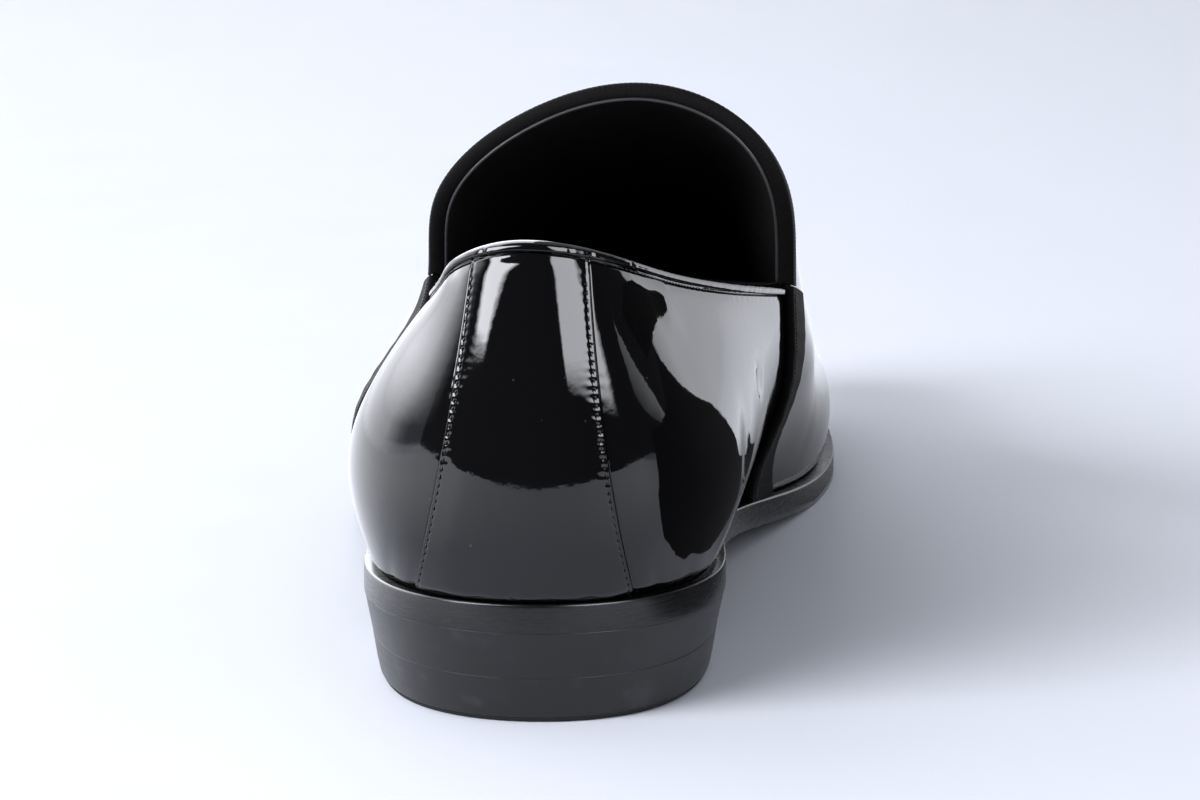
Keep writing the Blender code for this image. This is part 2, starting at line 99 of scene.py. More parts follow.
# Top edge of the quarters: share of the way to the notch and share of the drop. Rear edge of the
# vamp: share of the wall's height and y
TOPLINE_BACK_Z = 84.2
TOPLINE = {
    LATERAL: ((0.0, 0.0), (0.35, 0.28), (0.7, 0.75), (1.0, 1.0)),
    MEDIAL: ((0.0, 0.0), (0.35, 0.21), (0.7, 0.62), (1.0, 1.0)),
}
VAMP_EDGE = ((0, 146), (0.25, 120), (0.55, 99.5), (0.8, 85.5), (1, 83.5))
NOTCH_HEIGHT = {LATERAL: 0.58, MEDIAL: 0.57}
NOTCH_CLEARANCE = 0.9
SIDE_BAND_WIDTH = 9.0
THROAT_BINDING_WIDTH = 3.2
TOPLINE_END = 2.4
COUNTER_THICKNESS = 0.9
COUNTER_FOOT = {LATERAL: 20.0, MEDIAL: 18.5}
COUNTER_TOP = {LATERAL: 9.5, MEDIAL: 10.5}
COUNTER_FLARE = 1.3
COUNTER_REACH = 94.0
HEEL_LENGTH = 76.0
HEEL_INSET = 0.3
HEEL_SIDE_TAPER = 0.13
HEEL_BACK_TAPER = 0.24
BREAST_HOLLOW = 3.0
LIFT_HEIGHT = 8.4
LIFT_STEP = 0.5

# Finer build of the surface: leather halves, turned edges, ribbon and thread
PATENT_THICKNESS = 0.85
LINING_GAP = 0.05
TUCK_DEPTH = 1.0
TUCK_HEIGHT = 2.4
EDGE_ROUND = 0.3
COUNTER_EDGE = 0.52
SKIVE_WIDTH = 6.0
STITCH_INSET = 0.8
STITCH_PITCH = 1.5
STITCH_LENGTH = 0.95
THREAD_RADIUS = 0.12
STITCH_GROOVE = 0.07
STITCH_HOLE = 0.09
STITCH_DRAG = ((18, 0.012), (30, 0.042))
COUNTER_PUCKER = 0.016
COUNTER_ROLL = 0.24
BEAD_WIDTH = 1.15
BEAD_SEAM = 0.35
BEAD_GROOVE = 0.16
BEAD_ROLL = 0.2
SEAM_DIP = 0.20
SEAM_DIP_WIDTH = 0.24
SEAM_PUCKER = 0.012
BEAD_PUCKER = 0.018
WAVE_RISE = 8.0
SEAT_FOLD_RISE = 0.8
LINING_SKIVE = 0.45
FOLD_FLAT = 0.25
RIB_PITCH = 0.95
RIB_HEIGHT = 0.05
RIBBON_THICKNESS = 0.6
RIBBON_FACE = VAMP_LAP + 0.75
FOLD_INSIDE = 1.6
PIPING_RADIUS = 0.32
FINE_STEPS = 400

# Small folds where the leather is pulled under at the heel seat
SEAT_FOLDS = (
    # millimetres round the heel from its back, width, depth, reach up the wall
    (-33, 2.6, 0.30, 5),
    (-24, 1.6, 0.25, 3.5),
    (-15.5, 2.2, 0.35, 4.5),
    (-8, 1.4, 0.22, 3),
    (-2.5, 1, 0.40, 5),
    (4, 2.4, 0.28, 4),
    (11, 1.5, 0.35, 4),
    (19, 2.2, 0.25, 5),
    (27, 1.6, 0.35, 3.5),
    (38, 2.8, 0.30, 5),
)

# Soft troughs (minus) and ridges (plus) on the quarters. They lean from upright to the toe.
HOLLOWS = (
    # side, y, z, lean in degrees, half length, half width, height
    (MEDIAL, 27, 71, 0, 5, 3.5, 0.45),
    (MEDIAL, 75, 48, 0, 3.4, 3.6, -0.45),
    (MEDIAL, 51, 41.5, 10, 6.5, 5.5, -0.55),
    (LATERAL, 40, 38, 25, 12, 7, -0.09),
    (LATERAL, 62, 50, 10, 16, 8, 0.06),
)


def spline(knots, values, start_flat=False, end_flat=False):
    """Cubic spline through values, or rows of them. A flat end has no slope, any other no curvature."""
    x = np.asarray(knots, float)
    v = np.asarray(values, float).reshape(len(x), -1)
    single = np.ndim(values) == 1
    n = len(x)
    step = np.diff(x)
    slope = np.diff(v, axis=0) / step[:, None]
    system = np.zeros((n, n))
    right = np.zeros_like(v)
    for i in range(1, n - 1):
        system[i, i - 1 : i + 2] = step[i - 1], 2 * (step[i - 1] + step[i]), step[i]
        right[i] = 6 * (slope[i] - slope[i - 1])
    system[0, 0] = system[-1, -1] = 1.0
    if start_flat:
        system[0, :2] = 2 * step[0], step[0]
        right[0] = 6 * slope[0]
    if end_flat:
        system[-1, -2:] = step[-1], 2 * step[-1]
        right[-1] = -6 * slope[-1]
    bend = np.linalg.solve(system, right)

    def at(q):
        q = np.asarray(q, float)
        i = np.clip(np.searchsorted(x, q, side="right") - 1, 0, n - 2)
        h = step[i][..., None]
        a = (x[i + 1] - q)[..., None]
        b = (q - x[i])[..., None]
        cubic = (bend[i] * a**3 + bend[i + 1] * b**3) / (6 * h)
        line = (v[i] / h - bend[i] * h / 6) * a + (v[i + 1] / h - bend[i + 1] * h / 6) * b
        return (cubic + line)[..., 0] if single else cubic + line

    return at


def eased(share):
    """Share between 0 and 1 with a flat start and a flat end."""
    share = np.clip(share, 0, 1)
    return share * share * (3 - 2 * share)


def angle_at(y):
    """Angle 0 at the heel back to pi at the toe tip, so that both ends of the last come out round."""
    return np.arccos(np.clip(1 - 2 * np.asarray(y, float) / LAST_LENGTH, -1, 1))


def station_y(angle):
    return LAST_LENGTH * (1 - np.cos(angle)) / 2


SECTION = dict(zip(SECTION_COLUMNS, np.array(SECTIONS).T))
SECTION_ANGLES = angle_at(SECTION["y"])
LATERAL_WALL = np.stack([SECTION[f"lat{i}"] for i in range(4)], 1)
MEDIAL_WALL = np.stack([SECTION[f"med{i}"] for i in range(4)], 1)
SECTION_T = np.linspace(0.0, 1.0, len(SECTION_HEIGHTS))
ACROSS_T = np.concatenate([SECTION_T, 2 - SECTION_T[-2::-1]])

half_widths_at = spline(SECTION_ANGLES, (MEDIAL_WALL + LATERAL_WALL) / 2)
centres_at = spline(SECTION_ANGLES, (MEDIAL_WALL - LATERAL_WALL) / 2, start_flat=True, end_flat=True)
crest_x_at = spline(SECTION_ANGLES, SECTION["ridge_x"], start_flat=True, end_flat=True)
crest_height = spline(SECTION_ANGLES, SECTION["ridge_h"], start_flat=True)
height_of = spline(SECTION_T, SECTION_HEIGHTS, end_flat=True)
section_weights_at = spline(ACROSS_T, np.eye(len(ACROSS_T)))
sole_top = spline(*np.array(SOLE_LINE).T)
sole_margin_at = spline(*np.array(SOLE_MARGIN).T)
lateral_drop_at = spline(*np.array(TOPLINE[LATERAL]).T, start_flat=True)
medial_drop_at = spline(*np.array(TOPLINE[MEDIAL]).T, start_flat=True)
vamp_edge_at = spline(*np.array(VAMP_EDGE).T, end_flat=True)


def sole_bottom(y):
    """Flat on the floor under the ball, and curved up to the toe and to the heel seat."""
    return np.maximum(sole_top(y) - SOLE_THICKNESS, 0.0)


def t_of(height):
    fine = np.linspace(0, 1, FINE_STEPS + 1)
    return np.interp(height, height_of(fine), fine)


def back_bow(height_mm, y):
    """How far the heel back comes forward at a height above the seat, fading out along the shoe."""
    bow = BACK_BOW * ((height_mm - BACK_BOW_H) / (BACK_TOP_H - BACK_BOW_H)) ** 2
    return bow * eased(1 - y / BACK_BOW_REACH)


def bare_last(angle, t, side):
    """Points of the last. t is 0 at the feather edge and 1 on the crest."""
    angle, t, side = np.broadcast_arrays(np.asarray(angle, float), np.asarray(t, float), side)
    half, centre = half_widths_at(angle), centres_at(angle)
    crest = crest_x_at(angle)[..., None]
    near = centre + side[..., None] * half
    far = centre - side[..., None] * half
    on_lateral = side[..., None] < 0
    near_crown = crest + np.where(on_lateral, CROWN_LATERAL, CROWN_MEDIAL) * (near[..., 3:] - crest)
    far_crown = crest + np.where(on_lateral, CROWN_MEDIAL, CROWN_LATERAL) * (far[..., 3:] - crest)
    across = np.concatenate([near, near_crown, crest, far_crown, far[..., ::-1]], -1)
    x = (section_weights_at(t) * across).sum(-1)
    height = height_of(t) * crest_height(angle)
    y = station_y(angle)
    return np.stack([x, y + back_bow(height, y), sole_top(y) + height], -1)


def unit(v):
    return v / np.linalg.norm(v, axis=-1, keepdims=True)


def slopes(angle, t, side, nudge=1e-3):
    """Moves of a point of the last along the shoe and up the wall, for each unit of angle and of t."""
    along = bare_last(angle + nudge, t, side) - bare_last(angle - nudge, t, side)
    up = bare_last(angle, t + nudge, side) - bare_last(angle, t - nudge, side)
    return along / (2 * nudge), up / (2 * nudge)


def last_normals(angle, t, side):
    """Outward directions of the last."""
    nudge = 2e-3
    near_angle = np.clip(angle, 4 * nudge, math.pi - 4 * nudge)
    along, up = slopes(near_angle, np.clip(t, nudge, 1 - nudge), side, nudge)
    normal = unit(np.cross(along, up) * side[..., None])
    normal[(angle <= 0) | (angle >= math.pi), 0] = 0.0
    return normal


def last_points(angle, t, side, offset=0.0):
    """The last, or a form larger or smaller than it by offset along its normal."""
    angle, t, side, offset = np.broadcast_arrays(np.asarray(angle, float), np.asarray(t, float), side, offset)
    points = bare_last(angle, t, side) + last_normals(angle, t, side) * offset[..., None]
    on_feather = t <= 0
    points[on_feather, 2] = sole_top(points[on_feather, 1]) + GAP
    return points


def angle_per_mm(angle, t, side):
    """Turn of the station angle that moves a point by one millimetre along the shoe."""
    return 1 / np.linalg.norm(slopes(angle, t, side)[0], axis=-1)


def t_per_mm(angle, t, side):
    """Change of t that moves a point by one millimetre up the wall."""
    return 1 / np.linalg.norm(slopes(angle, t, side)[1], axis=-1)


def vamp_edge(t):
    """Station angle of the vamp's rear edge at a height up the wall."""
    return angle_at(vamp_edge_at(height_of(t)))


def notch_t(side):
    return t_of(NOTCH_HEIGHT[side])


def quarter_top_t(u):
    """Height of the topline on the wall. u runs -1 to 1 round the heel."""
    end_t = np.where(u < 0, notch_t(LATERAL), notch_t(MEDIAL))
    end_angle = vamp_edge(end_t)
    end_z = sole_top(station_y(end_angle)) + height_of(end_t) * crest_height(end_angle)
    drop = np.where(u < 0, lateral_drop_at(np.abs(u)), medial_drop_at(np.abs(u)))
    top_z = TOPLINE_BACK_Z + (end_z - TOPLINE_BACK_Z) * drop
    top_angle = np.abs(u) * end_angle
    return t_of((top_z - sole_top(station_y(top_angle))) / crest_height(top_angle))


def quarter_place(u, level):
    """Angle, t and side on the quarters. level runs 0 to 1 up to the topline."""
    side = np.where(u < 0, LATERAL, MEDIAL)
    end_t = np.where(u < 0, notch_t(LATERAL), notch_t(MEDIAL))
    return np.abs(u) * vamp_edge(level * end_t), level * quarter_top_t(u), side


def edge_skew(t, side):
    """Sine of the angle between the vamp's rear edge and the length of the shoe."""
    nudge = 1e-3
    near = np.clip(t, nudge, 1 - nudge)
    rise = bare_last(vamp_edge(near + nudge), near + nudge, side)
    rise = rise - bare_last(vamp_edge(near - nudge), near - nudge, side)
    along = slopes(vamp_edge(near), near, side)[0]
    return np.linalg.norm(np.cross(unit(rise), unit(along)), axis=-1)


def sole_outline(angle, side, margin):
    """Plan of the shoe at the feather edge moved outwards by a margin, and its outward directions."""
    nudge = 2e-3
    near = np.clip(angle, 2 * nudge, math.pi - 2 * nudge)
    along, _ = slopes(near, 0.0, side, nudge)
    normal = unit(np.stack([along[..., 1], -along[..., 0]], -1) * side)
    normal[(angle <= 0) | (angle >= math.pi), 0] = 0.0
    return bare_last(angle, 0.0, side)[..., :2] + normal * margin[..., None], normal


def edge_margin(angle):
    return sole_margin_at(station_y(angle))


def heel_back_in_frame():
    """Where the middle of the heel back lies in the frame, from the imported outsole's box."""
    stations = np.linspace(0, math.pi, SOLE_STATIONS + 1)
    medial, _ = sole_outline(stations, MEDIAL, edge_margin(stations))
    low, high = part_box("outsole")
    return np.array([high.x / MM - medial[:, 0].max(), low.y / MM - medial[:, 1].min(), 0.0])


HEEL_BACK = heel_back_in_frame()


def to_frame(points):
    return (np.asarray(points, float) + HEEL_BACK) * MM


def quads(grid):
    """Faces between the neighbours of a grid of point numbers."""
    return np.stack([grid[:-1, :-1], grid[1:, :-1], grid[1:, 1:], grid[:-1, 1:]], -1).reshape(-1, 4).tolist()


class Shell:
    """Points and faces of one closed piece, gathered from grids and runs."""

    def __init__(self):
        self.points = []
        self.faces = []
        self.count = 0

    def put(self, points):
        points = np.asarray(points, float)
        ids = np.arange(self.count, self.count + points[..., 0].size).reshape(points.shape[:-1])
        self.points.append(points.reshape(-1, 3))
        self.count += ids.size
        return ids

    def skin(self, grid):
        self.faces += quads(grid)

    def join(self, line, other):
        self.skin(np.stack([line, other]))

    def fan(self, line, tip):
        for a, b in zip(line[:-1], line[1:]):
            self.faces.append([int(a), int(b), int(tip)])

    def lace(self, line, other):
        """Joins two runs with different numbers of points."""
        i, j = 0, 0
        while i < len(line) - 1 or j < len(other) - 1:
            ahead = (i + 1) / (len(line) - 1)
            other_ahead = (j + 1) / (len(other) - 1)
            if ahead <= other_ahead:
                self.faces.append([int(line[i]), int(line[i + 1]), int(other[j])])
                i += 1
            else:
                self.faces.append([int(line[i]), int(other[j + 1]), int(other[j])])
                j += 1


def rim(grid):
    """Boundary of a grid as a closed run."""
    return np.concatenate([grid[0], grid[1:, -1], grid[-1, -2::-1], grid[-2::-1, 0]])


def sheet_shell(outer, inner):
    """Closed sheet between a fine outer grid and an inner grid that may be coarser."""
    shell = Shell()
    face, back = shell.put(outer), shell.put(inner)
    shell.skin(face)
    shell.skin(back)
    for edge in (np.s_[0], np.s_[-1], np.s_[:, 0], np.s_[:, -1]):
        shell.lace(face[edge], back[edge])
    return shell


def toe_shell(outer, inner, outside, inside):
    """Closed front of the upper between two grids, drawn together at the tip of the toe."""
    shell = Shell()
    face, back = shell.put(outer), shell.put(inner)
    tips = [shell.put(last_points(math.pi, 0.0, MEDIAL, offset)) for offset in (outside, inside)]
    for grid, tip in zip((face, back), tips):
        shell.skin(grid)
        shell.fan(grid[:, -1], tip)
    shell.join(face[:, 0], back[:, 0])
    for row in (0, -1):
        shell.lace(np.append(face[row], tips[0]), np.append(back[row], tips[1]))
    return shell


def strip_shell(outer, inner):
    """Closed folded strip. outer and inner hold one run of points for each step along it."""
    shell = Shell()
    loop = shell.put(np.concatenate([outer, inner[:, ::-1]], 1))
    shell.skin(np.concatenate([loop, loop[:, :1]], 1))
    half = outer.shape[1]
    for end in (loop[0], loop[-1]):
        shell.join(end[:half], end[half:][::-1])
    return shell


def slab(layers):
    """Closed form between the first and the last grid, its walls through the rims of those between."""
    shell = Shell()
    first, last = shell.put(layers[0]), shell.put(layers[-1])
    shell.skin(first)
    shell.skin(last)
    runs = [rim(first)] + [shell.put(rim(layer)) for layer in layers[1:-1]] + [rim(last)]
    for upper, lower in zip(runs[:-1], runs[1:]):
        shell.join(upper, lower)
    return shell


def make_piece(name, shell, made_of, slot, *nodes):
    """Mesh of a shell, smooth shaded, on the shoe's one body."""
    mesh = bpy.data.meshes.new(name)
    mesh.from_pydata(to_frame(np.concatenate(shell.points)).tolist(), [], shell.faces)
    build = bmesh.new()
    build.from_mesh(mesh)
    bmesh.ops.remove_doubles(build, verts=build.verts, dist=2e-7)
    bmesh.ops.recalc_face_normals(build, faces=build.faces)
    build.to_mesh(mesh)
    build.free()
    mesh.shade_smooth()
    mesh.materials.append(made_of)
    piece = bpy.data.objects.new(name, mesh)
    bpy.context.scene.collection.objects.link(piece)
    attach(piece, "root")
    if nodes:
        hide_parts(*nodes)
    return piece


def run_lengths(points, axis):
    """Distance along a grid of points from its first row or column."""
    steps = np.linalg.norm(np.diff(points, axis=axis), axis=-1)
    start = np.zeros_like(np.take(steps, [0], axis))
    return np.concatenate([start, np.cumsum(steps, axis)], axis)


def even_values(place, start, end, step):
    """Values between start and end whose points lie an even step apart."""
    fine = np.linspace(start, end, FINE_STEPS + 1)
    run = run_lengths(place(fine), 0)
    return np.interp(np.linspace(0, run[-1], max(2, int(run[-1] / step) + 1)), run, fine)


def every_few(shape, rows, columns):
    """Picks that many rows and columns of a grid, both ends among them."""
    return np.ix_(*[np.linspace(0, n - 1, few).astype(int) for n, few in zip(shape, (rows, columns))])


def ripple(x, pitch):
    """Uneven wave between -1 and 1 with about that pitch, as pulled leather shows along a seam."""
    turn = 2 * math.pi / pitch
    wander = 0.9 * np.sin(turn * x / 5.3) + 0.5 * np.sin(turn * x / 2.7 + 1.3)
    return np.sin(turn * x + wander) * (0.65 + 0.35 * np.sin(turn * x / 7.7 + 1.1))


def bell(x, width):
    return np.exp(-((x / width) ** 2))


def slow_wave(points):
    """Long shallow waves of lasted leather over the heel, in millimetres of height."""
    x, y, z = points[..., 0], points[..., 1], points[..., 2]
    wave = 0.06 * np.sin(z / 5.2 + 0.07 * x + 0.4) * np.sin(y / 9.0 + x / 13.0 + 0.8)
    return wave + 0.05 * np.sin(x / 4.1 + z / 11.0) * np.sin(z / 8.3 + 1.9)


def risen(up):
    """0 at the feather edge and 1 from the height at which long waves have their full size."""
    return np.clip(up / WAVE_RISE, 0, 1)


def tuck(height):
    """Turn of the leather under the shoe at the feather edge."""
    return -TUCK_DEPTH * np.clip(1 - height / TUCK_HEIGHT, 0, 1) ** 2


def seat_folds(round_mm, height):
    """Folds round the heel seat, starting from nothing at the feather edge."""
    total = 0.0
    for at, width, depth, reach in SEAT_FOLDS:
        total = total - depth * bell(round_mm - at, width) * np.exp(-height / reach)
    return total * np.clip(height / SEAT_FOLD_RISE, 0, 1)


def hollows(points, side):
    total = np.zeros(points.shape[:-1])
    for on, y, z, lean, length, width, height in HOLLOWS:
        if on != side:
            continue
        turn = math.radians(lean)
        dy, dz = points[..., 1] - y, points[..., 2] - z
        long = dz * math.cos(turn) + dy * math.sin(turn)
        short = dy * math.cos(turn) - dz * math.sin(turn)
        total = total + height * bell(long, length) * bell(short, width)
    return total


def counter_half(level, side):
    """Half width of the counter panel across the heel back."""
    return COUNTER_TOP[side] + (COUNTER_FOOT[side] - COUNTER_TOP[side]) * (1 - level) ** COUNTER_FLARE


def counter_top_t(u):
    top = quarter_top_t(u)
    return top - (BEAD_WIDTH + GAP) * t_per_mm(np.zeros_like(top), top, MEDIAL)


COUNTER_SHARE = 0.2


def counter_edge_angle(t, side):
    """Station angle of the counter panel's edge at heights up the wall."""
    fine = np.linspace(0, angle_at(COUNTER_REACH), FINE_STEPS + 1)
    level = np.clip(t / counter_top_t(np.array(side * COUNTER_SHARE)), 0, 1)
    rows = zip(np.ravel(t), np.ravel(counter_half(level, side)))
    found = [np.interp(half, np.abs(bare_last(fine, row, side)[:, 0]), fine) for row, half in rows]
    return np.array(found).reshape(np.shape(t))


# Nominal run of the quarter from the counter to the vamp, and its height, in which the
# steps of its grid are given
QUARTER_RUN = 104.0
QUARTER_HEIGHT = 64.0


def quarter_steps():
    """Columns as (share under the counter, share beyond it) and rows as levels."""
    edge_zone, seam_zone, wall_zone = 1.2, 6, 56
    hidden = np.linspace(0, 1, 13)[:-1]
    near = np.concatenate([np.arange(0, edge_zone, 0.15), np.arange(edge_zone, seam_zone, 0.3)])
    beyond = np.concatenate([near, np.linspace(seam_zone, QUARTER_RUN, 170)]) / QUARTER_RUN
    under = np.concatenate([hidden, np.ones_like(beyond)])
    beyond = np.concatenate([np.zeros_like(hidden), beyond])
    wall, top = np.arange(0, wall_zone, 0.3), np.linspace(wall_zone, QUARTER_HEIGHT, 41)
    rows = np.concatenate([wall, top]) / QUARTER_HEIGHT
    return under[None, :], beyond[None, :], rows[:, None]


def make_quarter(name, side, made_of):
    """One side of the back of the upper, from the heel back to the vamp."""
    under, beyond, level = quarter_steps()
    seam_u = np.full(level.shape, COUNTER_SHARE)
    end_t = notch_t(side)
    for _ in range(4):
        seam_t = level * quarter_top_t(side * seam_u)
        seam_u = counter_edge_angle(seam_t, side) / vamp_edge(level * end_t)
    u = side * (seam_u * under + (1 - seam_u) * beyond)
    angle = np.abs(u) * vamp_edge(level * end_t)
    t = level * quarter_top_t(u)
    sides = np.full(t.shape, side)
    base = last_points(angle, t, sides)
    up = run_lengths(base, 0)
    seam_column = int(np.argmax(under[0] >= 1))
    along = run_lengths(base, 1)
    from_seam = along - along[:, seam_column : seam_column + 1]
    seam_run = up[:, seam_column : seam_column + 1]
    below = up[-1:] - up
    round_mm = side * along[:1]

    pull = SEAM_PUCKER * ripple(seam_run, pitch=2.6) * np.exp(-np.abs(from_seam) / 1.4)
    pull = pull - SEAM_DIP * bell(from_seam - 0.1, SEAM_DIP_WIDTH)
    groove = below - BEAD_WIDTH - BEAD_SEAM
    pull = pull - BEAD_GROOVE * bell(groove, width=0.3)
    pull = pull - BEAD_ROLL * bell(np.clip(groove, 0, None), width=1.5)
    pull = pull + BEAD_PUCKER * ripple(along[-1:], pitch=3.1) * bell(groove - 0.4, width=1.2)
    pull = pull + tuck(up) + seat_folds(round_mm, up)
    pull = pull + hollows(base, side) + slow_wave(base) * risen(up)
    outer = last_points(angle, t, sides, pull)
    pick = every_few(t.shape, 24, 60)
    inner = last_points(angle[pick], t[pick], sides[pick], -PATENT_THICKNESS)
    make_piece(name, sheet_shell(outer, inner), made_of, "patent_leather", "upper")


def over_instep(lateral, medial):
    """One column of heights and sides, up the lateral wall and down the medial wall."""
    t = np.concatenate([lateral, medial[-2::-1]])[:, None]
    return t, np.where(np.arange(len(t)) < len(lateral), LATERAL, MEDIAL)[:, None]


def front_place(rows, columns):
    """Angle, t, side and share of the way to the toe, in rows over the instep from the vamp's edge."""
    t, side = over_instep(rows, rows)
    edge = vamp_edge(t)
    share = np.linspace(0, 1, columns + 1)[None, :-1]
    return np.broadcast_arrays(edge + (math.pi - edge) * share, t, side, share)


VAMP_ROWS = 90
VAMP_COLUMNS = 170
FEATHER_ROWS = 14
FEATHER_T = 0.06


def make_vamp(made_of):
    """Front of the upper, from its rear edge to the toe."""
    low = np.linspace(0, FEATHER_T, FEATHER_ROWS)[:-1]
    rows = np.concatenate([low, np.linspace(FEATHER_T, 1, VAMP_ROWS)])
    angle, t, side, _ = front_place(rows, VAMP_COLUMNS)
    base = last_points(angle, t, side)
    up = base[..., 2] - sole_top(base[..., 1])
    outer = last_points(angle, t, side, VAMP_LAP + tuck(up) + flex_folds(base) * risen(up))
    pick = every_few(t.shape, len(t), 60)
    inner = last_points(angle[pick], t[pick], side[pick], -PATENT_THICKNESS)
    shell = toe_shell(outer, inner, VAMP_LAP - TUCK_DEPTH, -PATENT_THICKNESS)
    make_piece("vamp", shell, made_of, "patent_leather", "upper")


# Soft flex lines over the ball where the vamp bends
FLEX_FOLDS = (
    # y, lean, half width, height, x, half length
    (168, 0.20, 4, -0.22, 6, 26),
    (176, 0.16, 4.5, 0.16, 4, 24),
    (186, 0.12, 5, -0.20, 8, 22),
    (197, 0.10, 5.5, 0.12, 2, 24),
)


def flex_folds(points):
    total = np.zeros(points.shape[:-1])
    for y, lean, width, height, x, length in FLEX_FOLDS:
        off = points[..., 1] - y - lean * (points[..., 0] - x)
        total = total + height * bell(off, width) * bell(points[..., 0] - x, length)
    return total


def make_lining(made_of):
    """Inside leather of quarters and vamp, thinned towards the bound edges."""
    outside, inside = -PATENT_THICKNESS - LINING_GAP, -WALL
    u, level = np.meshgrid(np.linspace(-1, 1, 131), np.linspace(0, 1, 37))
    place = quarter_place(u, level)
    skive = LINING_SKIVE * np.clip((level - 0.9) / 0.1, 0, 1)
    quarters = sheet_shell(last_points(*place, outside), last_points(*place, inside + skive))
    make_piece("quarter_lining", quarters, made_of, "sock_leather", "upper")
    *place, share = front_place(np.linspace(0, 1, 42), 60)
    skive = LINING_SKIVE * np.clip(1 - share / 0.06, 0, 1)
    front = toe_shell(last_points(*place, outside), last_points(*place, inside + skive), outside, inside)
    make_piece("vamp_lining", front, made_of, "sock_leather", "upper")


def counter_grid(step):
    """Angle, t, side and distance from the panel's edge, for rows a step apart."""
    levels = np.linspace(0, 1, int(QUARTER_HEIGHT / step) + 1)
    rounding = EDGE_ROUND * (1 - np.cos(np.linspace(0, math.pi / 2, 7)[:-1]))
    edge_steps = np.concatenate([rounding, np.arange(EDGE_ROUND, 3.6, 0.2)])
    seam_zone = edge_steps[-1] + 0.2
    middle = np.linspace(0, 1, 26)[:-1]
    angles, ts, signs, from_edge = [], [], [], []
    for side in (LATERAL, MEDIAL):
        top = counter_top_t(np.array(side * COUNTER_SHARE))
        t = levels[:, None] * top
        edge = counter_edge_angle(t, side)
        reach = bare_last(edge * np.linspace(0, 1, 61)[None, :], t, side)
        arc = run_lengths(reach, 1)[:, -1:]
        zone = 1 - seam_zone / arc
        share = np.concatenate([middle[None, :] * zone, 1 - edge_steps[None, ::-1] / arc], 1)
        row_t = levels[:, None] * counter_top_t(side * COUNTER_SHARE * share)
        order = slice(None, 0, -1) if side == LATERAL else slice(None)
        angles.append((edge * share)[:, order])
        ts.append(row_t[:, order])
        signs.append(np.full(share.shape, side)[:, order])
        from_edge.append(((1 - share) * arc)[:, order])
    return [np.concatenate(parts, 1) for parts in (angles, ts, signs, from_edge)]


def counter_lift(base, from_edge, up):
    """Height of the counter panel over the last: rounded edges, stitch groove and puckers."""
    below = up[-1:] - up
    rounded = np.clip(np.minimum(from_edge, below), 0, EDGE_ROUND)
    shoulder = np.sqrt(np.clip(EDGE_ROUND**2 - (EDGE_ROUND - rounded) ** 2, 0, None)) - EDGE_ROUND
    from_stitch = from_edge - STITCH_INSET
    phase = (up / STITCH_PITCH) % 1 - 0.5
    hole = bell(from_stitch, width=0.28) * bell((np.abs(phase) - 0.5) * STITCH_PITCH, width=0.2)
    uneven = 0.7 + 0.3 * ripple(up, pitch=9.0)
    pull = -STITCH_GROOVE * bell(from_stitch, width=0.35) - STITCH_HOLE * hole * uneven
    drag = np.cos(2 * math.pi * phase) * np.exp(-np.abs(from_stitch) / 0.6)
    pull = pull + np.interp(up, *np.array(STITCH_DRAG).T) * drag * uneven
    pucker = ripple(up + 0.7 * base[..., 0], pitch=2.6) * bell(from_stitch, width=1.5)
    pull = pull + COUNTER_PUCKER * pucker
    pull = pull + seat_folds(base[..., 0], up)
    thick = COUNTER_EDGE + (COUNTER_THICKNESS - COUNTER_EDGE) * eased(from_edge / SKIVE_WIDTH)
    rolled = -COUNTER_ROLL * bell(below, width=1.7)
    return thick + shoulder + pull + rolled + tuck(up) + slow_wave(base) * risen(up)


def make_counter(made_of):
    """Second layer over the heel back, from the seat up to the topline binding."""
    angle, t, side, from_edge = counter_grid(0.23)
    base = last_points(angle, t, side)
    up = run_lengths(base, 0)
    outer = last_points(angle, t, side, counter_lift(base, from_edge, up))
    pick = every_few(t.shape, 40, 40)
    inner = last_points(angle[pick], t[pick], side[pick], 0.04 + 0.6 * tuck(up[pick]))
    make_piece("back_counter", sheet_shell(outer, inner), made_of, "patent_leather", "back_counter")


# Thread of one stitch from end to end: place along its length and share of its radius
THREAD_RINGS = ((-0.5, 0.0), (-0.42, 0.62), (-0.22, 0.95), (0.0, 1.0), (0.22, 0.95), (0.42, 0.62), (0.5, 0.0))


def stitches(shell, points, along, out, length, radius):
    """Adds one thread lying on the surface at each point: a capsule with rounded ends."""
    rings = np.array(THREAD_RINGS)
    turns = np.linspace(0, 2 * math.pi, 9)[:-1]
    across = np.cross(along, out)
    for p, a, o, c in zip(points, along, out, across):
        ring = p + a * (rings[:, :1, None] * length)
        arch = o * ((1 - (2 * rings[:, :1, None]) ** 2) * 0.5 * radius)
        circle = np.cos(turns)[None, :, None] * c + np.sin(turns)[None, :, None] * o
        grid = shell.put(ring + arch + circle * rings[:, 1:, None] * radius)
        shell.skin(np.concatenate([grid, grid[:, :1]], 1))


def make_thread_row(name, place, made_of, slot, offset, length, radius):
    """Row of stitches through places on the last."""
    points = last_points(*place, offset)
    shell = Shell()
    stitches(shell, points, unit(np.gradient(points, axis=0)), last_normals(*place), length, radius)
    make_piece(name, shell, made_of, slot)


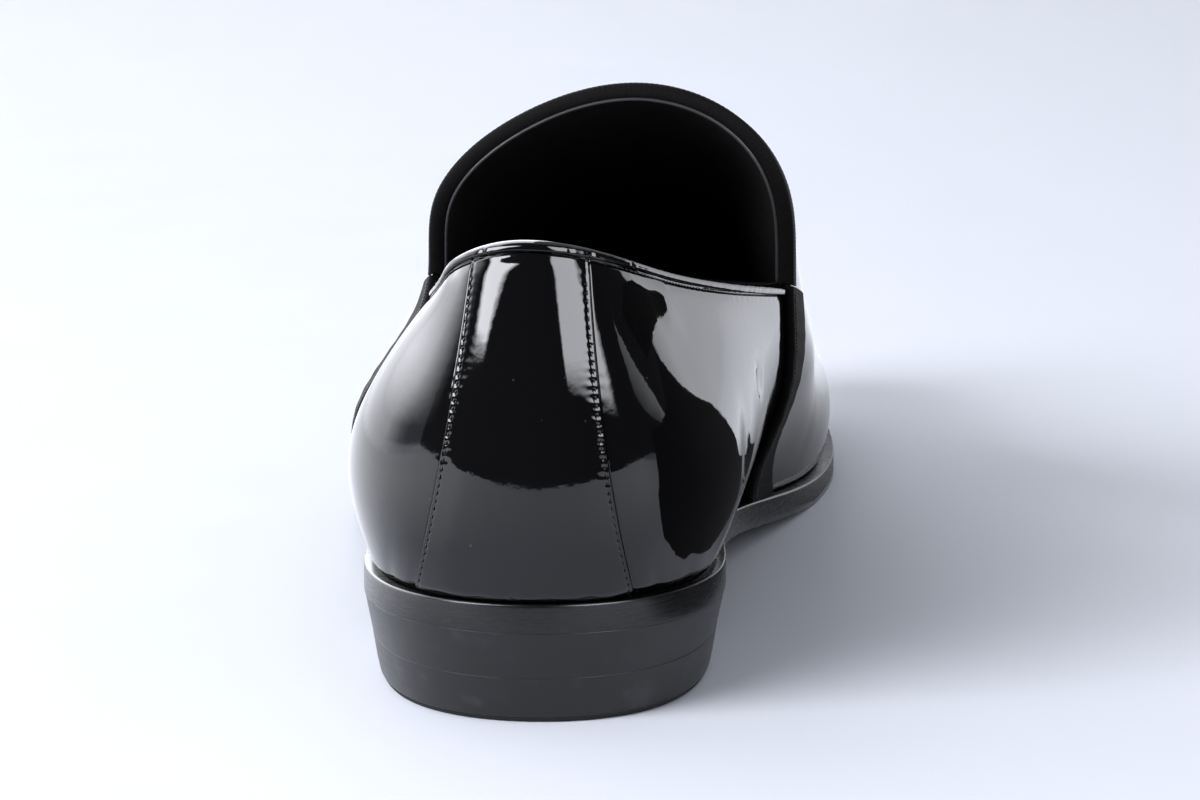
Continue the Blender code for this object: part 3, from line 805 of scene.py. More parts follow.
def make_seam_stitches(made_of):
    """Rows of thread along both edges of the counter panel."""
    angle, t, side, from_edge = counter_grid(STITCH_PITCH / 8)
    base = last_points(angle, t, side)
    up = run_lengths(base, 0)
    surface = last_points(angle, t, side, counter_lift(base, from_edge, up) + 0.04)
    shell = Shell()
    half = int(np.argmax(side[0] > 0))
    for columns in (slice(0, half), slice(half, None)):
        lane = columns.start + int(np.argmin(np.abs(from_edge[5, columns] - STITCH_INSET)))
        run = up[:, lane]
        count = np.arange(2, int(run[-1] / STITCH_PITCH) - 1)
        row = np.searchsorted(run, count * STITCH_PITCH)
        along = unit(surface[row + 3, lane] - surface[row - 3, lane])
        out = last_normals(angle[row, lane], t[row, lane], side[row, lane])
        stitches(shell, surface[row, lane], along, out, STITCH_LENGTH, THREAD_RADIUS)
    make_piece("counter_stitches", shell, made_of, "patent_leather")


# Cut edge of a folded strip
STRIP_EDGE = (
    # back from the edge, share of the thickness worn off
    (0.0, 0.42),
    (0.1, 0.12),
    (0.3, 0.0),
)


def fold_paths(width, outside, inside, crown, lean=0.0):
    """Outer and inner run of a strip folded over an edge, as reach from the edge and offset.

    With a lean the fold is highest towards the inside.
    """
    bend = np.linspace(0, math.pi, 13)
    high = np.sin(bend) * (1 - lean * np.cos(bend))
    middle, half = (outside + inside) / 2, (outside - inside) / 2
    back, worn_off = np.array(STRIP_EDGE).T
    paths = []
    for depth, worn in ((0.0, worn_off), (RIBBON_THICKNESS, 0.0 * worn_off)):
        edge = np.stack([width - back, outside - depth - RIBBON_THICKNESS * worn], -1)
        fold = np.stack([FOLD_FLAT - (crown - depth) * high, middle + (half - depth) * np.cos(bend)], -1)
        paths.append(np.concatenate([edge, fold, [(FOLD_INSIDE, inside + depth)]]))
    return paths


# Places along the topline from the heel back where lengths of the bead are butted together
BEAD_JOINS = (-7.5, 6.8, 11.6, 22.0)
BEAD_STITCH_PITCH = 1.35


def make_topline_binding(made_of, thread):
    """Rolled strip over the top edge of the quarters, puckered by its stitches."""
    place = lambda u: last_points(*quarter_place(u, np.ones_like(u)))
    fine = np.linspace(-1, 1, FINE_STEPS + 1)
    end = 1 - 2 * TOPLINE_END / run_lengths(place(fine), 0)[-1]
    u = even_values(place, -end, end, 0.24)[:, None]
    run = run_lengths(place(u[:, 0]), 0)[:, None]
    angle, t, side = quarter_place(u, np.ones_like(u))
    per_mm = t_per_mm(angle, t, side)
    outer, inner = fold_paths(BEAD_WIDTH, 0.7, -WALL - 0.1, crown=1.1, lean=0.42)
    pucker = 0.02 * ripple(run, pitch=2.9) + 0.04 * ripple(run + 4, pitch=7.3)
    from_back = run - np.interp(0.0, u[:, 0], run[:, 0])
    for at in BEAD_JOINS:
        notch, swell = bell(from_back - at, width=0.45), bell(from_back - at - 1.1, width=0.7)
        pucker = pucker - 0.14 * notch + 0.07 * swell
    sections = []
    for (reach, offset), share in ((outer.T, np.clip(outer[:, 1], 0, 1)), (inner.T, 0.0)):
        reach = reach + 0.6 * pucker * (reach > 0.3)
        sections.append(last_points(angle, t - reach * per_mm, side, offset + pucker * share))
    make_piece("topline_binding", strip_shell(*sections), made_of, "patent_leather", "topline_binding")

    u = even_values(place, -end, end, BEAD_STITCH_PITCH)[3:-3]
    angle, t, side = quarter_place(u, np.ones_like(u))
    below = t - (BEAD_WIDTH + BEAD_SEAM) * t_per_mm(angle, t, side)
    beside = np.abs(last_points(angle, below, side)[:, 0]) > 1.25 * COUNTER_TOP[MEDIAL]
    place = angle[beside], below[beside], side[beside]
    sizes = {"offset": -0.14, "length": 0.9, "radius": 0.13}
    make_thread_row("topline_stitches", place, thread, "patent_leather", **sizes)


def rib(run):
    """Rounded cross rib of grosgrain, 0 between the ribs and 1 on top."""
    return np.abs(np.sin(math.pi * run / RIB_PITCH)) ** 0.8


def throat_run(step):
    """Heights and sides along the vamp's edge from notch to notch."""
    rows = []
    for side in (LATERAL, MEDIAL):
        start = notch_t(side)
        start = start + NOTCH_CLEARANCE * t_per_mm(vamp_edge(start), start, side)
        rows.append(even_values(lambda t: last_points(vamp_edge(t), t, side), start, 1.0, step))
    return over_instep(*rows)


def make_throat_binding(made_of, piping):
    """Grosgrain folded over the vamp's edge across the instep, with a thin piping inside it. The piping's
    grey, paler than the lining, is a painted highlight along the inner fold.
    """
    t, side = throat_run(0.16)
    edge = vamp_edge(t)
    per_mm = angle_per_mm(edge, t, side)
    run = run_lengths(last_points(edge, t, side)[:, 0], 0)[:, None]
    outer, inner = fold_paths(THROAT_BINDING_WIDTH, RIBBON_FACE, -WALL + 0.1, crown=1.0)
    middle = (outer[0, 1] + outer[-1, 1]) / 2
    sections = []
    for (reach, offset), rib_height in ((outer.T, RIB_HEIGHT), (inner.T, 0.0)):
        lift = rib_height * (rib(run) - 0.5)
        reach = reach - lift * (reach < 0)
        offset = offset + lift * np.clip(offset - middle, -1, 1)
        sections.append(last_points(edge + reach * per_mm, t, side, offset))
    make_piece("throat_binding", strip_shell(*sections), made_of, "grosgrain", "throat_binding")

    t, side = throat_run(0.8)
    edge = vamp_edge(t)
    per_mm = angle_per_mm(edge, t, side)
    turn = np.linspace(0, 2 * math.pi, 13)[None, :-1]
    reach = -0.25 + PIPING_RADIUS * np.cos(turn)
    offset = -WALL - 0.05 + PIPING_RADIUS * np.sin(turn)
    loops = last_points(edge + reach * per_mm, t, side, offset)
    shell = Shell()
    grid = shell.put(loops)
    shell.skin(np.concatenate([grid, grid[:, :1]], 1))
    for end in (0, -1):
        shell.fan(np.append(grid[end], grid[end, 0]), shell.put(loops[end].mean(0)))
    make_piece("throat_piping", shell, piping, "sock_leather")


def make_side_band(name, side, made_of, thread):
    """Cross-ribbed ribbon folded over the vamp's rear edge, from the notch down to the sole."""
    top = notch_t(side)
    top = top + (NOTCH_CLEARANCE - GAP) * t_per_mm(vamp_edge(top), top, side)
    t = even_values(lambda q: last_points(vamp_edge(q), q, side), 0.0, top, 0.16)[:, None]
    edge = vamp_edge(t)
    per_mm = angle_per_mm(edge, t, side) / edge_skew(t, side)
    run = run_lengths(last_points(edge, t, side)[:, 0], 0)[:, None]
    face, back = RIBBON_FACE, VAMP_LAP + 0.1
    # Rows of reach from the vamp's edge and offset from the last
    fold = np.array(((-0.62, 0.10), (-0.80, 0.45), (-0.82, 0.85), (-0.62, 1.25), (-0.25, face)))
    across = np.linspace(0.1, SIDE_BAND_WIDTH - 0.35, 30)
    flat = np.stack([across, np.full_like(across, face)], -1)
    front = np.array(((SIDE_BAND_WIDTH - 0.1, face - 0.08), (SIDE_BAND_WIDTH, face - 0.28)))
    outer = np.concatenate([fold, flat, front])
    under = np.array(((-0.20, 0.10), (-0.22, 0.45), (-0.22, 0.8), (-0.12, 0.90), (0.0, back)))
    across = np.append(across, front[:, 0])
    base = np.stack([across, np.full_like(across, back)], -1)
    inner = np.concatenate([under, base])
    reach, offset = outer.T
    selvage = bell(reach - SIDE_BAND_WIDTH + 0.8, 0.5) + bell(reach - 0.9, 0.45)
    lift = RIB_HEIGHT * (rib(run) - 0.5) * np.clip(offset - 0.6, 0, 1) - 0.10 * selvage
    lift = lift + 0.05 * ripple(run, 6.0)
    sections = [
        last_points(edge + reach * per_mm, t, side, offset + lift),
        last_points(edge + inner[:, 0] * per_mm, t, side, inner[:, 1]),
    ]
    make_piece(name, strip_shell(*sections), made_of, "grosgrain", name)

    t = even_values(lambda q: last_points(vamp_edge(q), q, side), 0.02, top * 0.97, RIB_PITCH)
    edge = vamp_edge(t)
    angle = edge + 0.9 * angle_per_mm(edge, t, side) / edge_skew(t, side)
    place = angle, t, np.full(t.shape, side)
    sizes = {"offset": face + 0.02, "length": 0.7, "radius": 0.16}
    make_thread_row(name + "_stitches", place, thread, "grosgrain", **sizes)


SOLE_FINE = 420
SOLE_ACROSS = 8


def ladder(lateral, medial, columns):
    """Plan grid with evenly spaced points between the lateral and the medial outline."""
    share = np.linspace(0, 1, columns + 1)[None, :, None]
    return lateral[:, None] * (1 - share) + medial[:, None] * share


def raised(plan, height):
    return np.concatenate([plan, np.broadcast_to(height, plan.shape[:-1])[..., None]], -1)


def plan_inside(angle, margin, columns):
    """Plan grid inside the outline of the shoe moved outwards by a margin."""
    return ladder(*[sole_outline(angle, side, margin)[0] for side in (LATERAL, MEDIAL)], columns)


# Edge of the sole from its top face down to its bottom face
SOLE_EDGE = (
    # inset from the edge, share of the way down
    (0.4, 0.0),
    (0.2, 0.012),
    (0.07, 0.04),
    (0.02, 0.08),
    (0.0, 0.16),
    (0.0, 0.70),
    (0.0, 0.96),
    (0.01, 0.985),
    (0.05, 1.0),
)


def make_outsole(made_of):
    """Sole from heel to toe, with the corners of its edge rounded off."""
    angle = np.linspace(0, math.pi, SOLE_FINE + 1)
    layers = []
    for inset, depth in SOLE_EDGE:
        plan = plan_inside(angle, edge_margin(angle) - inset, SOLE_ACROSS)
        top, bottom = sole_top(plan[..., 1]), sole_bottom(plan[..., 1])
        layers.append(raised(plan, top + (bottom - top) * depth))
    make_piece("outsole", slab(layers), made_of, "sole_leather", "outsole")


def heel_plan(depth, step):
    """Plan of the heel at a depth below the seat, its walls tapering in and its breast hollowed."""
    angle = np.linspace(0, angle_at(HEEL_LENGTH), SOLE_FINE // 2 + 1)
    sides = []
    for side in (LATERAL, MEDIAL):
        _, normal = sole_outline(angle, side, edge_margin(angle))
        taper = HEEL_SIDE_TAPER * normal[:, 0] ** 2 + HEEL_BACK_TAPER * normal[:, 1] ** 2
        inset = HEEL_INSET + step + depth * taper
        sides.append(sole_outline(angle, side, edge_margin(angle) - inset)[0])
    plan = ladder(*sides, SOLE_ACROSS)
    across = np.linspace(-1, 1, SOLE_ACROSS + 1)
    plan[:, :, 1] -= BREAST_HOLLOW * (1 - across**2) * np.linspace(0, 1, len(angle))[:, None] ** 4
    return plan


# Edges of the heel block, of its top lift and of the tread, from top to bottom
HEEL_EDGE = (
    # share of the depth, inset
    (0.0, -0.18),
    (0.004, -0.21),
    (0.02, -0.22),
    (0.5, -0.10),
    (0.98, 0.0),
    (0.996, 0.0),
    (1.0, 0.03),
)
LIFT_EDGE = (
    (0.0, -0.46),
    (0.004, -0.49),
    (0.02, -0.49),
    (0.3, -0.45),
    (0.7, -0.34),
    (0.9, -0.22),
    (0.97, -0.15),
    (0.99, -0.10),
    (1.0, 0.0),
)
TREAD_EDGE = (
    (0.0, 0.1),
    (0.05, 0.07),
    (0.5, 0.12),
    (0.9, 0.3),
    (1.0, 0.5),
)
HEEL_SEAT_SEAM = 0.02
TREAD_HEIGHT = 0.9


def heel_layer(name, edge, top_z, bottom_z, made_of, slot, *nodes):
    """Layer of the heel between two heights. With no top height it reaches up to the sole."""
    seat = sole_bottom(0.0)
    start = 0.0 if top_z is None else seat - top_z
    overhang = 0.0 if top_z is None else LIFT_STEP
    layers = []
    for depth, inset in edge:
        plan = heel_plan(start + (seat - bottom_z - start) * depth, inset + overhang)
        top = (sole_bottom(plan[..., 1]) if top_z is None else top_z) - HEEL_SEAT_SEAM
        layers.append(raised(plan, top + (bottom_z - top) * depth))
    make_piece(name, slab(layers), made_of, slot, *nodes)


# Edge of the sock from its foot up to its dome
SOCK_EDGE = (
    # inset, height over the sole
    (0.0, 0.0),
    (0.0, 1.6),
    (0.15, 2.05),
    (0.5, 2.3),
    (1.2, 2.4),
)


def make_sock(made_of):
    """Sock over the insole board, a little domed and turned down at its edge."""
    angle = np.linspace(0, math.pi, 241)
    layers = []
    for inset, height in SOCK_EDGE:
        plan = plan_inside(angle, np.full_like(angle, -WALL - 2 * GAP - inset), 24)
        layers.append(raised(plan, sole_top(plan[..., 1]) + GAP + height))
    make_piece("sock", slab(layers), made_of, "sock_leather", "insole")


def linear(hex_colour):
    """Linear red, green, blue and alpha from an sRGB hex colour."""
    parts = [int(hex_colour[i : i + 2], 16) / 255 for i in (1, 3, 5)]
    return [p / 12.92 if p <= 0.04045 else ((p + 0.055) / 1.055) ** 2.4 for p in parts] + [1.0]


def add(tree, kind, inputs=None, **settings):
    """Adds a node with its settings. An input is a value, or another node's output socket to link."""
    node = tree.nodes.new(kind)
    for name, value in settings.items():
        setattr(node, name, value)
    for name, value in (inputs or {}).items():
        if isinstance(value, bpy.types.NodeSocket):
            tree.links.new(value, node.inputs[name])
        else:
            node.inputs[name].default_value = value
    return node


def new_material(name):
    made = bpy.data.materials.new(name)
    made.use_nodes = True
    made.node_tree.nodes.clear()
    return made, made.node_tree


def on_piece(tree):
    """Places on the piece in its own axes."""
    return add(tree, "ShaderNodeTexCoord").outputs["Object"]


def cloud(tree, place, size_mm, detail):
    """Cloudy pattern with features of about this size."""
    inputs = {"Vector": place, "Scale": 1 / (size_mm * MM), "Detail": detail}
    return add(tree, "ShaderNodeTexNoise", inputs).outputs["Fac"]


def spots(tree, place, size_mm):
    """Scattered cells of about this size, as the distance from their middles."""
    inputs = {"Vector": place, "Scale": 1 / (size_mm * MM)}
    return add(tree, "ShaderNodeTexVoronoi", inputs, feature="F1").outputs["Distance"]


def spread(tree, value, low, high, start=0.0, end=1.0):
    """A value that runs from start to end, brought to run from low to high."""
    inputs = {"Value": value, "From Min": start, "From Max": end, "To Min": low, "To Max": high}
    return add(tree, "ShaderNodeMapRange", inputs).outputs["Result"]


def shades(tree, share, dark, light):
    inputs = {"Factor": share, "A": linear(dark), "B": linear(light)}
    return add(tree, "ShaderNodeMix", inputs, data_type="RGBA").outputs[2]


def relief(tree, height, strength, depth_mm):
    inputs = {"Height": height, "Strength": strength, "Distance": depth_mm * MM}
    return add(tree, "ShaderNodeBump", inputs).outputs["Normal"]


def finish_material(tree, shader_socket):
    add(tree, "ShaderNodeOutputMaterial", {"Surface": shader_socket})


def finish_surface(tree, looks):
    finish_material(tree, add(tree, "ShaderNodeBsdfPrincipled", looks).outputs["BSDF"])


def patent_lacquer():
    """Patent leather: calf with a poured clear lacquer. A black mirror, a shade wavy, with dust specks."""
    made, tree = new_material("patent_calf_lacquered")
    place = on_piece(tree)
    dust = spread(tree, spots(tree, place, 5.0), 1.0, 0.0, 0.025, 0.045)
    looks = {
        "Base Color": shades(tree, dust, "#060607", "#3a3a3d"),
        "Roughness": spread(tree, cloud(tree, place, 14.0, 4.0), 0.025, 0.06, 0.35, 0.75),
        "IOR": 1.5,
        "Normal": relief(tree, cloud(tree, place, 2.2, 2.0), 0.06, 0.2),
    }
    finish_surface(tree, looks)
    return made


def grosgrain_ribbon():
    """Grosgrain: woven black silk ribbon. Matt, with fine threads over its ribs and a soft sheen."""
    made, tree = new_material("grosgrain_woven")
    weave = cloud(tree, on_piece(tree), 0.35, 3.0)
    looks = {
        "Base Color": shades(tree, weave, "#040404", "#0f0d0d"),
        "Roughness": 0.7,
        "Specular IOR Level": 0.08,
        "Sheen Weight": 0.02,
        "Sheen Roughness": 0.4,
        "Normal": relief(tree, weave, 0.5, 0.12),
    }
    finish_surface(tree, looks)
    return made


def grained(name, dark, light, grain_mm, roughness, depth_mm):
    """Dyed leather or moulded rubber with a fine grain: two close shades, uneven gloss, pebbled."""
    made, tree = new_material(name)
    place = on_piece(tree)
    patches = cloud(tree, place, grain_mm * 9, 5.0)
    looks = {
        "Base Color": shades(tree, patches, dark, light),
        "Roughness": spread(tree, patches, roughness - 0.08, roughness + 0.1),
        "IOR": 1.45,
        "Normal": relief(tree, spots(tree, place, grain_mm), 0.35, depth_mm),
    }
    finish_surface(tree, looks)
    return made


def inked_edge(name, dark, light, roughness, scuff):
    """Leather edge, inked and ironed: satin black with fine lines along it and pale scuffs."""
    made, tree = new_material(name)
    place = on_piece(tree)
    layered = add(tree, "ShaderNodeMapping", {"Vector": place, "Scale": (1.0, 1.0, 22.0)}).outputs["Vector"]
    lines = cloud(tree, layered, 9.0, 4.0)
    rubbed = spread(tree, cloud(tree, place, 6.0, 6.0), 0.0, scuff, 0.56, 0.78)
    looks = {
        "Base Color": shades(tree, rubbed, dark, light),
        "Roughness": spread(tree, lines, roughness - 0.05, roughness + 0.07),
        "IOR": 1.5,
        "Normal": relief(tree, lines, 0.12, 0.15),
    }
    finish_surface(tree, looks)
    return made


def uneven_gloss(name, colour, size_mm, detail, low, high, ior):
    """One colour whose roughness runs between two values in a cloudy pattern."""
    made, tree = new_material(name)
    rough = spread(tree, cloud(tree, on_piece(tree), size_mm, detail), low, high)
    finish_surface(tree, {"Base Color": linear(colour), "Roughness": rough, "IOR": ior})
    return made


def glow(tree, radiance):
    inputs = {"Color": linear("#f6f8ff"), "Strength": radiance}
    return add(tree, "ShaderNodeEmission", inputs).outputs["Emission"]


def black_cloth(name, radiance):
    """Black cloth of the studio. An even, faint glow stands for the little light it sends back."""
    made, tree = new_material(name)
    finish_material(tree, glow(tree, radiance))
    return made


def lamp_cloth(name, radiance):
    """Diffuser cloth of a soft light, glowing where its weave covers and thinning out at its edges. It also
    makes the glowing strip of painted highlight on the flag and the dark sheet of painted shade on the floor.
    """
    made, tree = new_material(name)
    cover = add(tree, "ShaderNodeAttribute", attribute_name="cover").outputs["Fac"]
    clear = add(tree, "ShaderNodeBsdfTransparent").outputs["BSDF"]
    blend = add(tree, "ShaderNodeMixShader", {0: cover, 1: clear, 2: glow(tree, radiance)})
    finish_material(tree, blend.outputs["Shader"])
    return made


def stage_mesh(name, points, faces, made_of, camera, gloss, floor):
    """Piece of the studio, and whether the camera, glossy surfaces and matt surfaces see it."""
    mesh = bpy.data.meshes.new(name)
    mesh.from_pydata([tuple(p) for p in points], [], faces)
    mesh.materials.append(made_of)
    thing = bpy.data.objects.new(name, mesh)
    bpy.context.scene.collection.objects.link(thing)
    thing.visible_camera = camera
    thing.visible_glossy = gloss
    thing.visible_diffuse = floor
    thing.visible_transmission = False
    thing.visible_shadow = camera
    return thing


def stage_card(name, grid, made_of, cover=None, gloss=True, floor=False):
    """Card of the studio from a grid of places, hidden from the camera."""
    grid = np.asarray(grid, float)
    numbers = np.arange(grid[..., 0].size).reshape(grid.shape[:2])
    card = stage_mesh(name, grid.reshape(-1, 3), quads(numbers), made_of, False, gloss, floor)
    if cover is not None:
        card.data.attributes.new("cover", "FLOAT", "POINT").data.foreach_set("value", np.ravel(cover))


LIT_POINT = Vector((0.005, -0.13, 0.06))
FLOOR_CARD = 0.0004
LAMP_STEPS = 40


def towards(azimuth, elevation, distance):
    """Place as seen from the heel: azimuth 0 lies behind the heel, 90 on the medial side."""
    a, e = math.radians(azimuth), math.radians(elevation)
    way = Vector((math.sin(a) * math.cos(e), -math.cos(a) * math.cos(e), math.sin(e)))
    return LIT_POINT + way * distance


def soft_light(name, distance, radiance, round_heel, upwards, gloss=True, floor=False):
    """Curved diffuser seen from the heel. Below the level of the lit point it lies on the floor.

    round_heel holds the azimuth at the foot, the azimuth at the top and the cover, from left to
    right. upwards holds elevation and cover.
    """
    foot, top, cover_round = np.array(round_heel, float).T
    knots, fine = np.linspace(0, 1, len(foot)), np.linspace(0, 1, LAMP_STEPS + 1)
    corners, cover = [], []
    for rise in fine:
        elevation = upwards[0][0] + (upwards[-1][0] - upwards[0][0]) * rise
        slope = max(math.sin(math.radians(-elevation)), 1e-6)
        reach = min(distance, (LIT_POINT.z - FLOOR_CARD) / slope)
        azimuths = np.interp(fine, knots, foot + (top - foot) * rise)
        corners.append([towards(azimuth, elevation, reach) for azimuth in azimuths])
        cover.append(np.interp(fine, knots, cover_round) * np.interp(elevation, *np.array(upwards, float).T))
    stage_card(name, corners, lamp_cloth(name + "_cloth", radiance), cover, gloss, floor)


# Low black flag beside the medial side, leaning away from the shoe; a small dark card above it; and
# a glowing strip over the flag's rear part, a painted highlight seen only in reflections. Their corners are
# given as x, y and z.
LOW_FLAG = (
    # foot x, foot y, top x, top y, top z
    (178, -142, 178, -142, 60),
    (119, -132, 135, -116, 61),
    (92, -122, 112, -98, 66),
    (79, -107, 100, -83, 78),
    (69, -83, 92, -72, 66),
    (60, -53, 88, -56, 58),
    (59, -30, 86, -39, 52),
    (58, 10, 88, 4, 30),
    (60, 35, 89, 28, 15),
    (70, 90, 90, 80, 2),
)
HIGH_FLAG = (
    (112, -98, 80),
    (89, -64, 79),
    (88, -55, 85),
    (91, -70, 96),
    (130, -112, 96),
)
PAINTED_HIGHLIGHT_FOOT = ((193, -151, 85), (163, -133, 70), (134, -113, 62), (119, -101, 58))
PAINTED_HIGHLIGHT_COVER = (0.25, 1.0)
PAINTED_HIGHLIGHT_TOP = ((175, -140, 108), (150, -125, 91), (128, -108, 73), (119, -102, 60))

# Soft lights round the heel. A row of ROUND is azimuth at the foot, azimuth at the top and cover of
# the cloth. A row of UP is elevation and cover.
KEY_ROUND = ((-150, -150, 0.3), (-138, -138, 1.0), (-97, -97, 1.0), (-85, -85, 0.3))
KEY_UP = ((4, 1.0), (55, 1.0))
LEFT_ROUND = ((-178, -178, 1.0), (-110, -110, 1.0), (-96, -96, 0.55), (-84, -84, 0.12), (-76, -76, 0.0))
LEFT_UP = ((2, 0.0), (5, 0.4), (9, 1.0), (60, 1.0))
LEFT_LOW_ROUND = ((-182, -182, 0.5), (-150, -150, 0.9), (-118, -118, 1.0), (-104, -104, 0.2), (-98, -98, 0.0))
LEFT_LOW_UP = ((-5, 0.7), (1, 1.0), (9, 1.0))
FLOOR_ROUND = (
    (-178, -178, 0.35),
    (-120, -120, 0.8),
    (-90, -90, 0.95),
    (-60, -60, 0.95),
    (-31, -31, 0.3),
    (0, 0, 0.1),
    (41, 41, 0.15),
    (75, 75, 0.42),
    (100, 100, 0.0),
)
FLOOR_UP = ((-34, 0.0), (-26, 0.35), (-20, 0.65), (-12, 1.0), (-4, 1.0))
BACK_LEFT_ROUND = ((-72, -72, 0.0), (-65, -65, 1.0), (-53, -20, 1.0), (-46, -12, 0.0))
BACK_LEFT_UP = ((6.5, 0.0), (8, 0.4), (9.5, 1.0), (34, 1.0))
BACK_RIGHT_ROUND = ((31, 31, 0.0), (34, 34, 1.0), (62, 80, 1.0), (66, 86, 0.0))
BACK_RIGHT_UP = ((4.5, 0.0), (7, 0.6), (10, 1.0), (40, 1.0))
FRONT_ROUND = (
    (124, 124, 0.0),
    (126, 126, 0.95),
    (140, 134, 1.0),
    (150, 138, 0.72),
    (158, 142, 0.55),
    (168, 146, 0.30),
    (205, 150, 0.2),
)
FRONT_UP = ((-20, 0.0), (-14, 0.55), (-9, 1.0), (14, 1.0), (26, 0.1))

# Dark sheet on the floor beside the ball, a painted shade seen only in reflections: x and cover, y and cover,
# and the x and y of its raised edge
FLOOR_SHADE_ACROSS = ((46, 0.8), (70, 0.8), (90, 0.6), (130, 0.0))
FLOOR_SHADE_ALONG = ((-60, 0.0), (-30, 0.7), (40, 0.85), (100, 0.75), (170, 0.55), (260, 0.0))
FLOOR_SHADE_EDGE = ((56, -25), (56, 45))
FLOOR_SHADE_EDGE_TOP = 5.0
CARD_FOOT = 0.5

# Paper sweep and dark room, in metres
SKY_STRENGTH = 0.47
SWEEP_REACH = 6.0
SWEEP_Z = -0.0001
ROOM_RADIUS = 2.4
ROOM_AZIMUTHS = np.linspace(-84, 124, 27)
ROOM_ELEVATIONS = (-3.0, 20.0, 45.0, 70.0, 89.0)
TABLE_REACH = 3.0
TABLE_BEHIND_HEEL = 0.205
TABLE_Z = 0.0006
FLOOR_SHADE_Z = 0.0008


def make_stage():
    """Pale sweep, dark room behind the camera with soft lights, and dark flags on the medial side."""
    world = bpy.data.worlds.new("pale_studio")
    bpy.context.scene.world = world
    world.use_nodes = True
    sky = world.node_tree.nodes["Background"]
    sky.inputs["Color"].default_value = linear("#eef2fb")
    sky.inputs["Strength"].default_value = SKY_STRENGTH
    corners = [(x * SWEEP_REACH, y * SWEEP_REACH, SWEEP_Z) for x, y in ((-1, -1), (1, -1), (1, 1), (-1, 1))]
    paper = uneven_gloss("paper_sweep_matt", "#eef1f8", 30.0, 3.0, 0.75, 0.9, 1.3)
    stage_mesh("sweep", corners, [(0, 1, 2, 3)], paper, True, True, True)

    felt = black_cloth("felt_black", 0.07)
    room = [[towards(a, e, ROOM_RADIUS) for e in ROOM_ELEVATIONS] for a in ROOM_AZIMUTHS]
    stage_card("dark_room", room, felt)
    edge = HEEL_BACK[1] * MM - TABLE_BEHIND_HEEL
    table = [[(x, y, TABLE_Z) for y in (edge, -TABLE_REACH)] for x in (-TABLE_REACH, TABLE_REACH)]
    stage_card("table_edge", table, felt)

    black = black_cloth("velvet_black", 0.035)
    flag = np.array([[(fx, fy, CARD_FOOT), (tx, ty, tz)] for fx, fy, tx, ty, tz in LOW_FLAG])
    stage_card("low_flag", flag * MM, black)
    stage_mesh("high_flag", np.array(HIGH_FLAG) * MM, [range(len(HIGH_FLAG))], black, False, True, False)
    # Glowing strip over the flag: a painted highlight, seen only in reflections
    strip = np.stack([PAINTED_HIGHLIGHT_FOOT, PAINTED_HIGHLIGHT_TOP], 1) * MM
    stage_card("painted_highlight_strip", strip, lamp_cloth("painted_highlight_strip_glow", 1.5), [PAINTED_HIGHLIGHT_COVER] * len(strip))
    # Dark sheet on the floor beside the ball and its raised black edge: painted shade of the floor, seen only
    # in reflections
    across, across_cover = zip(*FLOOR_SHADE_ACROSS)
    along, along_cover = zip(*FLOOR_SHADE_ALONG)
    shade_sheet = [[(x * MM, y * MM, FLOOR_SHADE_Z) for y in along] for x in across]
    stage_card("floor_painted_shade", shade_sheet, lamp_cloth("painted_shade_thin", 0.03), np.outer(across_cover, along_cover))
    raised_edge = np.array([[(x, y, z) for z in (CARD_FOOT, FLOOR_SHADE_EDGE_TOP)] for x, y in FLOOR_SHADE_EDGE])
    stage_card("painted_shade_edge", raised_edge * MM, black)

    soft_light("lamp_key", 2.6, 1.15, KEY_ROUND, KEY_UP, gloss=False, floor=True)
    soft_light("lamp_left", 2.0, 6.3, LEFT_ROUND, LEFT_UP)
    soft_light("lamp_left_low", 2.05, 2.6, LEFT_LOW_ROUND, LEFT_LOW_UP)
    soft_light("floor_glow", 1.2, 2.1, FLOOR_ROUND, FLOOR_UP)
    soft_light("lamp_back_left", 2.2, 18.0, BACK_LEFT_ROUND, BACK_LEFT_UP, floor=True)
    soft_light("lamp_back_right", 2.2, 9.5, BACK_RIGHT_ROUND, BACK_RIGHT_UP)
    soft_light("lamp_front_right", 2.0, 2.5, FRONT_ROUND, FRONT_UP)


PHOTO_WIDTH = 1200
CAMERA_AT = (0.0932, -1.0023, 0.2256)
AIM_AT = (0.0090, -0.0488, 0.0390)
FOCAL_PIXELS = 5120


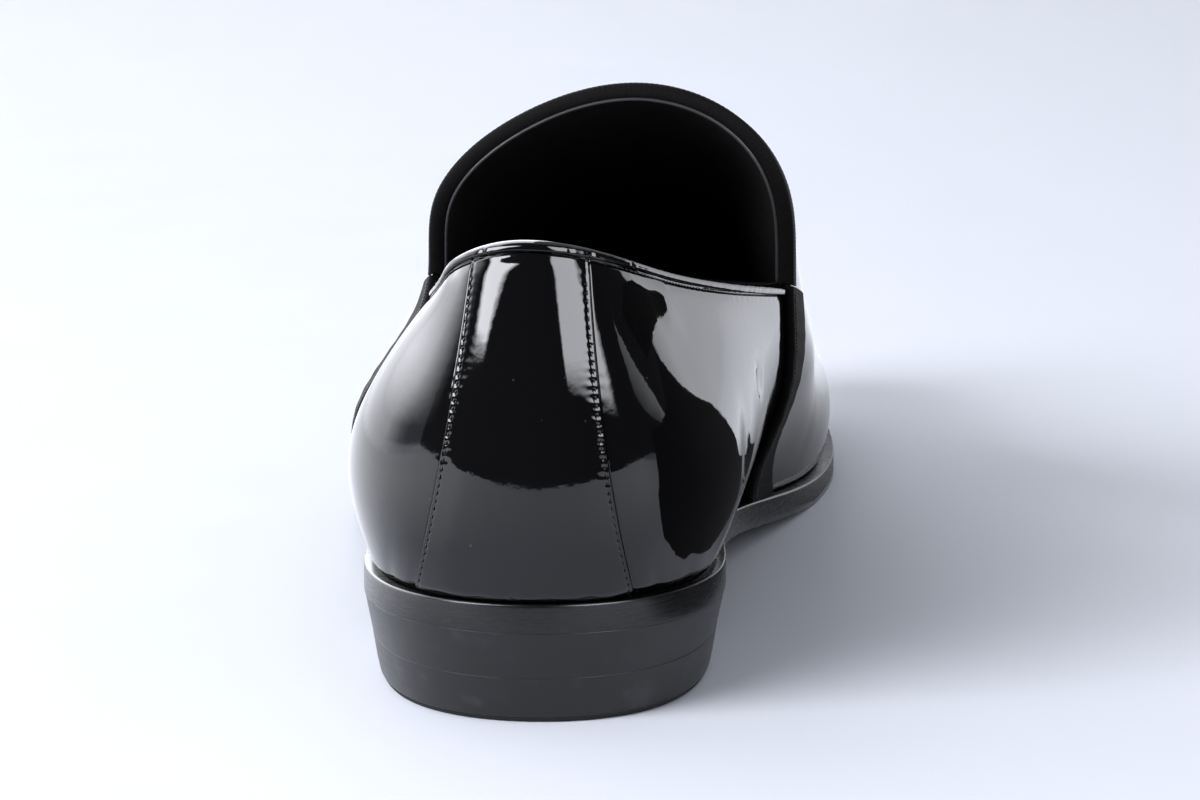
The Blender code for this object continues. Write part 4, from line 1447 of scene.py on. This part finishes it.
def make_camera():
    """The photograph's place and angle to the shoe, framed closer on this one shoe."""
    view = bpy.data.cameras.new("camera")
    view.sensor_width = 36.0
    view.lens = FOCAL_PIXELS * view.sensor_width / PHOTO_WIDTH
    view.clip_start, view.clip_end = 0.01, 100.0
    camera = bpy.data.objects.new("camera", view)
    bpy.context.scene.collection.objects.link(camera)
    camera.location = CAMERA_AT
    camera.rotation_mode = "QUATERNION"
    camera.rotation_quaternion = (Vector(AIM_AT) - camera.location).to_track_quat("-Z", "Y")
    bpy.context.scene.camera = camera


def main():
    scene = bpy.context.scene
    scene.view_settings.view_transform = "Standard"
    patent = patent_lacquer()
    ribbon = grosgrain_ribbon()
    thread = uneven_gloss("thread_waxed", "#0b0b0c", 0.3, 2.0, 0.15, 0.4, 1.5)
    lining = grained("calf_lining_glazed", "#141313", "#1d1b1b", grain_mm=0.7, roughness=0.5, depth_mm=0.06)
    # Piping grey, paler than the lining and the ribbon: a painted highlight along the throat's inner fold
    piping = grained("piping_painted_highlight_grey", "#2b2b2d", "#363638", grain_mm=0.8, roughness=0.4, depth_mm=0.02)
    sock = grained("sock_leather_matt", "#0b0a0a", "#151414", grain_mm=0.9, roughness=0.55, depth_mm=0.08)
    sole = inked_edge("sole_edge_inked", "#070708", "#222224", roughness=0.26, scuff=0.3)
    stack = inked_edge("heel_leather_inked", "#0c0c0d", "#333235", roughness=0.34, scuff=0.4)
    lift = inked_edge("top_lift_leather_inked", "#0c0c0d", "#3a393c", roughness=0.36, scuff=0.55)
    tread = grained("tread_rubber_moulded", "#050505", "#0b0b0b", grain_mm=0.6, roughness=0.85, depth_mm=0.05)
    make_quarter("quarter_lateral", LATERAL, patent)
    make_quarter("quarter_medial", MEDIAL, patent)
    make_vamp(patent)
    make_lining(lining)
    make_counter(patent)
    make_seam_stitches(thread)
    make_topline_binding(patent, thread)
    make_throat_binding(ribbon, piping)
    make_side_band("side_band_lateral", LATERAL, ribbon, thread)
    make_side_band("side_band_medial", MEDIAL, ribbon, thread)
    make_outsole(sole)
    heel_layer("heel_stack", HEEL_EDGE, None, LIFT_HEIGHT, stack, "heel_leather", "heel_stack")
    heel_layer("heel_top_lift", LIFT_EDGE, LIFT_HEIGHT, TREAD_HEIGHT, lift, "lift_rubber", "heel_top_lift")
    heel_layer("heel_tread", TREAD_EDGE, TREAD_HEIGHT, 0.0, tread, "lift_rubber")
    make_sock(sock)
    make_stage()
    make_camera()


main()
